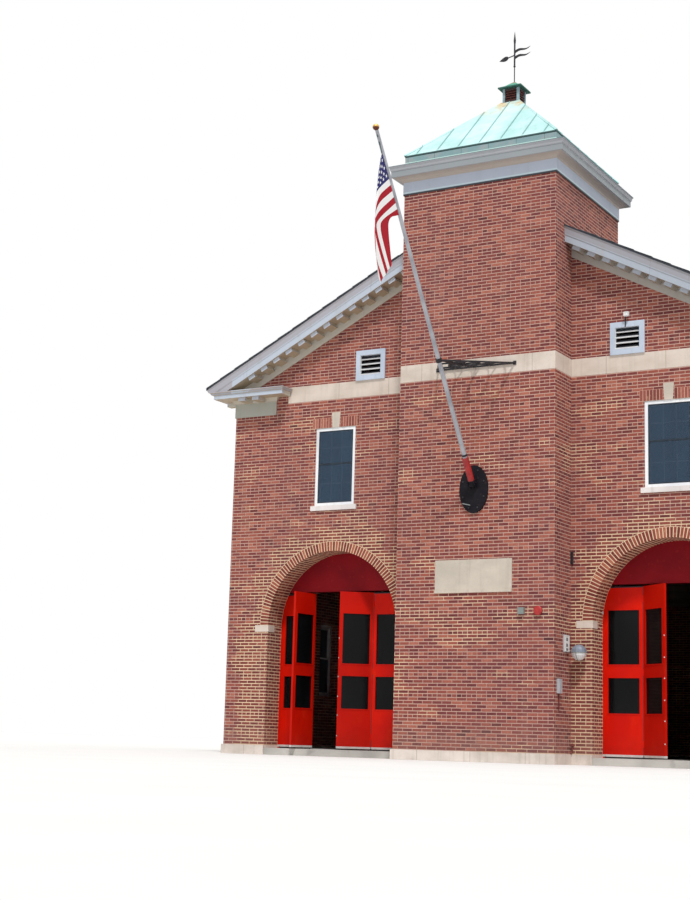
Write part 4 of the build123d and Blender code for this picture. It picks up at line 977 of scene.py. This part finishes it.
def ridgeTiles():  # saddle tiles from the tower's back to the rear gable
    start, end = towerCorner.y + roof["towerGap"], highRoof.y
    count = int((end - start) / roof["ridgeLength"])
    pitch = (end - start) / count
    sides = []
    for side in (-1, 1):
        wing = addBlock("wing", (0, 0, 0),
                        (roof["ridgeWidth"], pitch - roof["ridgeGap"], roof["ridgeThickness"]), 0.004)
        wing.data.transform(Matrix.Rotation(roofPitch, 4, "Y"))
        if side < 0:
            wing.data.transform(Matrix.Scale(-1, 4, (1, 0, 0)))
            turnOutwards(wing)
        sides.append(wing)
    tile = joinAll("tile", sides)
    facesEach = len(tile.data.polygons)
    top = highRoof.z + roof["ridgeLift"]
    places = [Matrix.Translation((0, start + pitch * index, top)) for index in range(count)]
    dress(shadeEach(repeat("ridgeTiles", tile, places), facesEach, 33), slates)


slopeOfSlates("rightSlates", 1, 31)
slopeOfSlates("leftSlates", -1, 32)
ridgeTiles()
print("roof slated")

# The flag: one sheet, folded where it hangs from the slanting pole
flag = {"top": (0.0, -4.914, 10.878), "flat": (1.52, 2.44), "slack": 0.34, "lean": math.radians(54.4),
        "across": 156, "down": 96, "thickness": 0.0012, "backPleats": 9.5, "frontWaves": 2.0,
        "stripes": 13, "canton": (7 / 13, 0.4), "starPitch": (0.0818, 0.0813), "starRadius": 0.047,
        "edge": ((0.0, -0.01), (0.40, -0.095), (0.75, -0.140), (1.20, -0.180), (1.52, -0.190), (1.72, -0.160),
                 (2.10, -0.08), (2.45, 0.04)),
        "front": ((0.600, ((-0.175, 0.86), (-0.195, 1.52), (-0.120, 2.08), (0.050, 2.43))),
                  (0.692, ((-0.200, 1.05), (-0.200, 1.56), (-0.110, 2.02), (0.170, 2.30))),
                  (0.769, ((-0.205, 1.22), (-0.195, 1.50), (-0.110, 1.74), (0.250, 2.22))),
                  (0.846, ((-0.150, 1.32), (-0.130, 1.50), (0.040, 1.76), (0.320, 2.12))),
                  (0.923, ((0.020, 1.26), (0.010, 1.42), (0.180, 1.70), (0.415, 2.05))),
                  (1.000, ((0.298, 1.12), (0.320, 1.47), (0.400, 1.76), (0.455, 1.98))))}


def ease(value, low, high):
    share = min(1.0, max(0.0, (value - low) / (high - low)))
    return share * share * (3 - 2 * share)


def blend(first, second, share):  # a point between two points
    return tuple(a + (b - a) * share for a, b in zip(first, second))


def along(value, points):  # a straight line from point to point
    for (x0, y0), (x1, y1) in zip(points, points[1:]):
        if value <= x1:
            return y0 + (y1 - y0) * (value - x0) / (x1 - x0)
    return points[-1][1]


def frontThread(h):  # between the two nearest threads of the folded front
    rows = flag["front"]
    for (low, first), (high, second) in zip(rows, rows[1:]):
        if h <= high:
            return [(-0.006, *blend(p, q, (h - low) / (high - low))) for p, q in zip(first, second)]
    return [(-0.006, *point) for point in rows[-1][1]]


def roundCorners(points, count):  # the same number of even steps along a rounded path
    for turn in range(4):
        cut = [points[0]]
        for p, q in zip(points, points[1:]):
            cut.append(tuple(0.75 * a + 0.25 * b for a, b in zip(p, q)))
            cut.append(tuple(0.25 * a + 0.75 * b for a, b in zip(p, q)))
        points = cut + [points[-1]]
    length = [0.0]
    for p, q in zip(points, points[1:]):
        length.append(length[-1] + math.dist(p, q))
    path, start = [], 0
    for index in range(count):
        want = length[-1] * index / (count - 1)
        while start < len(points) - 2 and length[start + 1] < want:
            start += 1
        share = min(1.0, (want - length[start]) / max(1e-9, length[start + 1] - length[start]))
        path.append(blend(points[start], points[start + 1], share))
    return path


def backThread(drop, share):  # down behind the front, on the line of the hanging edge
    lag = 0.12 - 0.06 * share
    rows = [(drop, -0.005, 0.0), (drop + 0.10, -0.035, 0.02), (drop + 0.30, -0.045, lag), (1.6, -0.045, lag),
            (2.06, -0.045, lag), (2.22 + 0.1 * share, -0.045, lag)]
    return [(x, along(low, flag["edge"]) + out, low) for low, x, out in rows]


def flagThread(h, count):  # one thread, from the pole down to the free end
    fold = flag["front"][0][0]
    reach = max(0.02 * h, flag["flat"][0] * h - flag["slack"])
    y, d = reach * math.cos(flag["lean"]), reach * math.sin(flag["lean"])
    share = min(1.0, h / fold)
    drop = d + (0.14 + 0.20 * share) * ease(h, 0.0, 0.25) + 0.02
    points = frontThread(h) if h >= fold else backThread(drop, share)
    rows = []
    for x, y, d in roundCorners([(0.0, y, d)] + points, count):
        if h < fold:
            far = ease(d, drop + 0.05, drop + 0.5) * min(1.0, (fold - h) * 12)
            turn = -2 * math.pi * flag["backPleats"] * (1 - share)
            x += far * 0.024 * math.sin(turn + 0.6 * math.sin(2.5 * d) - 0.4)
            y += far * ((1 - share) * 0.20 * ease(d, drop, drop + 0.9) + 0.012 * math.cos(turn + 1.0))
        else:
            turn = 2 * math.pi * flag["frontWaves"] * (h - fold) / (1 - fold)
            x += 0.008 * math.sin(turn + 0.8 * d) * ease(d, 1.25, 1.6)
        rows.append((x, flag["top"][1] + y, flag["top"][2] - d))
    return rows


def flagPaint():
    paint = Paint("flagCloth")
    u, v, _ = paint.split(paint.add("ShaderNodeUVMap", {"uv_map": "UVMap"}, {}))
    cantonU, cantonV = flag["canton"]
    paint.colour = paint.mix((u * (flag["stripes"] / 2)).fract() < 0.5, (240, 238, 236), (166, 8, 30))
    columns, rows = v / cantonV * 12, u / cantonU * 10
    column, row = (columns + 0.5).floor(), (rows + 0.5).floor()
    up = (rows - row) * flag["starPitch"][0]  # metres from the middle of the nearest place for a star
    right = (columns - column) * flag["starPitch"][1]
    fifth = 2 * math.pi / 5
    tip = math.radians(18)
    fold = abs((right.angleTo(up) / fifth + 10.5).fract() - 0.5) * fifth
    edge = math.sin(tip) * flag["starRadius"] / (fold + tip).sine()
    place = ((column + row) * 0.5).fract() < 0.25
    inside = (row > 0.5) * (row < 9.5) * (column > 0.5) * (column < 11.5)
    stars = ((right * right + up * up).root() < edge) * place * inside
    paint.coat((v < cantonV) * (u < cantonU), paint.mix(stars, (34, 36, 98), (240, 240, 240)))
    fade = paint.noise(3.0, 3.0)
    paint.coat(fade * 0.06, (206, 200, 204))
    return paint.finish(roughness=0.78 + 0.12 * fade, specular=0.1,
                        normal=paint.bump(paint.noise(420.0, 1.0), 0.0006, 0.5))


def hangFlag():
    across, down = flag["across"], flag["down"]
    bpy.ops.object.select_all(action="DESELECT")
    bpy.ops.mesh.primitive_grid_add(x_subdivisions=across, y_subdivisions=down, size=1)
    cloth = bpy.context.object
    cloth.name = "flagCloth"
    threads = [flagThread(index / across, down + 1) for index in range(across + 1)]
    for vertex in cloth.data.vertices:
        column, row = round((vertex.co.x + 0.5) * across), round((vertex.co.y + 0.5) * down)
        vertex.co = threads[column][row]
    useModifier(cloth, "SOLIDIFY", thickness=flag["thickness"], offset=0)
    dress(smoothByAngle(cloth, 60), flagPaint())
    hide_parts("flag")


hangFlag()
print("flag hung")


# Small fittings on the doors, the walls and the pole
def doorFittings():  # dark seals along the leaves that also stand in as painted shade in the gaps, bright studs on the folded edge
    sealsAndGapShade, studs = [], []
    face, strip, bottom, top = doors["face"], doors["strip"], doors["bottom"], doors["top"]
    (edgeX, edgeY), (wayX, wayY) = doors["edge"], doors["edgeWay"]
    # dark strips at the hinge lines and along the leaves' tops and feet: seals, and painted shade for the
    # gaps there
    for side in (-1, 1):
        for x in (side * doors["hinge"], side * doors["farHinge"]):
            low, high = (x - strip, face - 0.004, bottom), (x + strip, face + 0.004, top)
            sealsAndGapShade.append(addBlock("seal", low, high, 0.002))
        for first, last in ((doors["start"], doors["hinge"]), (doors["farHinge"], doors["end"])):
            left, right = sorted((side * first, side * last))
            for low, high in ((top - 0.022, top), (bottom - 0.022, bottom + 0.004)):
                sealsAndGapShade.append(addBlock("seal", (left, face - 0.003, low), (right, face + 0.008, high), 0.002))
        for z in doors["studs"]:
            ends = [(side * (edgeX + wayX * out), edgeY + wayY * out, z) for out in (-0.010, 0.005)]
            studs.append(addRound("stud", doors["studRadius"], *ends, 10, 0.002))
    dress(joinAll("doorSealsAndGapShade", sealsAndGapShade), fittingDark)
    dress(joinAll("doorStuds", studs), fittingPale)


wall = {"towerSide": 1.710, "lamp": (1.955, -0.200, 2.115), "lampRadius": 0.150,
        "plate": (1.735, -0.261, 2.285), "plateHalf": (0.1325, 0.165), "plateEdge": 0.012,
        "plateHoles": (2.165, 2.255, 2.365), "hole": 0.030, "conduit": (1.728, -0.633, 1.020, 1.325),
        "tap": (1.757, 0.200, 0.400), "bracket": (1.706, 3.840, 4.080), "sensor": (2.152, 0.505, 2.930),
        "flood": (2.890, 8.740), "floodArm": (2.851, 8.494)}


def lampGuard():  # a rim under the hood and a bar down the globe
    hoops = []
    for gap, thick, turn in ((0.004, 0.007, 0.0), (0.002, 0.005, math.pi / 2)):
        bpy.ops.mesh.primitive_torus_add(location=wall["lamp"], rotation=(0.0, turn, 0.0), major_segments=32,
                                         major_radius=wall["lampRadius"] + gap, minor_radius=thick,
                                         minor_segments=8)
        hoops.append(smoothByAngle(newPiece("hoop"), 60))
    dress(joinAll("lampGuard", hoops), darkGrey)


def keyPlate():  # a raised rim round three dark squares
    x, y, z = wall["plate"]
    halfY, halfZ = [half - wall["plateEdge"] for half in wall["plateHalf"]]
    plate = addBlock("keyPlate", (x - 0.002, y - halfY, z - halfZ), (x + 0.006, y + halfY, z + halfZ))
    sinkFace(plate, facingRight, 0.016, 0.004)
    useModifier(plate, "BEVEL", width=0.002, segments=1, limit_method="ANGLE")
    dress(plate, fittingPale)
    half = wall["hole"]
    holes = [addBlock("hole", (x, y - half, height - half), (x + 0.005, y + half, height + half), 0.002)
             for height in wall["plateHoles"]]
    dress(joinAll("keyHoles", holes), fittingDark)


def wallPipes():  # a conduit on the tower's side and a tap on the pier
    side, (x, y, low, high) = wall["towerSide"], wall["conduit"]
    pipes = [addRound("conduit", 0.012, (x, y, low), (x, y, high), 10, 0.002),
             addBlock("strap", (side, y - 0.028, low + 0.03), (x + 0.014, y + 0.028, low + 0.055), 0.003)]
    x, low, high = wall["tap"]
    pipes += [addRound("tapPipe", 0.014, (x, -0.035, low + 0.06), (x, -0.035, high), 12, 0.003),
              addRound("tapSpout", 0.012, (x, -0.030, low + 0.07), (x, -0.105, low), 12, 0.002),
              addBlock("tapStrap", (x - 0.026, -0.050, high - 0.06), (x + 0.026, 0.0, high - 0.035), 0.003)]
    dress(joinAll("wallPipes", pipes), fittingRed)


def wallFittings():  # a bracket and a sensor beside the tower, and a floodlight over the louvres
    x, low, high = wall["bracket"]
    bracket = addBlock("bracket", (x, -0.040, low), (x + 0.055, 0.0, high), 0.004)
    sinkFace(bracket, facingFront, 0.010, 0.008)
    x, y, z = wall["sensor"]
    sensor = addBlock("sensor", (x - 0.002, y - 0.025, z - 0.03), (x + 0.030, y + 0.020, z + 0.03), 0.006, 2)
    x, z = wall["flood"]
    armX, armZ = wall["floodArm"]
    arm = addRound("floodArm", 0.011, (armX, -0.034, armZ), (x - 0.02, -0.060, z), 10)
    head = addBlock("floodHead", (x - 0.055, -0.115, z - 0.045), (x + 0.055, -0.045, z + 0.045), 0.010, 2)
    sinkFace(head, facingFront, 0.010, 0.006)
    dress(joinAll("wallIron", [bracket, arm]), fittingDark)
    dress(joinAll("wallPale", [sensor, head]), fittingPale)


pole = {"rise": math.radians(54.4), "clamp": 6.640, "clampRadius": 0.056, "pulley": (0.0, -5.093, 11.166),
        "link": (0.0, -4.932, 10.882), "clip": (0.0, -5.026, 11.040), "plateFace": -0.876,
        "plateMiddle": 5.290, "boltRing": (0.245, 0.400), "bolts": 8, "boltRadius": 0.021,
        "cleat": (-0.130, 4.985), "cleatHalf": 0.085, "cleatStems": (-0.03, 0.03), "cleatOut": 0.045}


def plateFittings():  # bolt heads round the plate and a cleat low on its left
    back = pole["plateFace"] + 0.004
    wide, tall = pole["boltRing"]
    bolts = []
    for index in range(pole["bolts"]):
        turn = 2 * math.pi * (index + 0.5) / pole["bolts"]
        x, z = wide * math.cos(turn), pole["plateMiddle"] + tall * math.sin(turn)
        bolts.append(addRound("bolt", pole["boltRadius"], (x, back, z), (x, back - 0.018, z), 6, 0.003))
    dress(joinAll("plateBolts", bolts), fittingDark)
    x, z = pole["cleat"]
    half, front = pole["cleatHalf"], pole["plateFace"] - pole["cleatOut"]
    cleat = [addRound("horns", 0.010, (x - half, front, z + 0.02), (x + half, front, z - 0.02), 12, 0.004)]
    for side in pole["cleatStems"]:
        foot = z - side * 0.22
        cleat.append(addRound("stem", 0.010, (x + side, back, foot), (x + side, front, foot), 10))
    dress(joinAll("cleat", cleat), darkGrey)


def poleFittings():  # the clamp over the sleeve, the pulley and its rigid hanger
    low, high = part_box("pole_ball")
    top = (low + high) / 2
    way = Vector((0.0, -math.cos(pole["rise"]), math.sin(pole["rise"])))
    centre = top - way * pole["clamp"]
    clamp = addRound("clamp", pole["clampRadius"], centre - way * 0.020, centre + way * 0.020, 24, 0.004)
    dress(clamp, fittingDark)
    pulley, clip = Vector(pole["pulley"]), Vector(pole["clip"])
    nearest = top + way * (pulley - top).dot(way)
    half = facingRight * 0.012
    parts = [addRound("pulley", 0.030, pulley - half, pulley + half, 18, 0.004),
             addRound("hanger", 0.008, pulley, pole["link"], 10),
             addRound("clip", 0.016, clip + way * 0.030, clip - way * 0.030, 12, 0.005),
             addRound("eye", 0.010, pulley, nearest, 10)]
    dress(joinAll("poleFittings", parts), fittingGreen)


doorFittings()
lampGuard()
keyPlate()
wallPipes()
wallFittings()
poleFittings()
plateFittings()
print("fittings added")
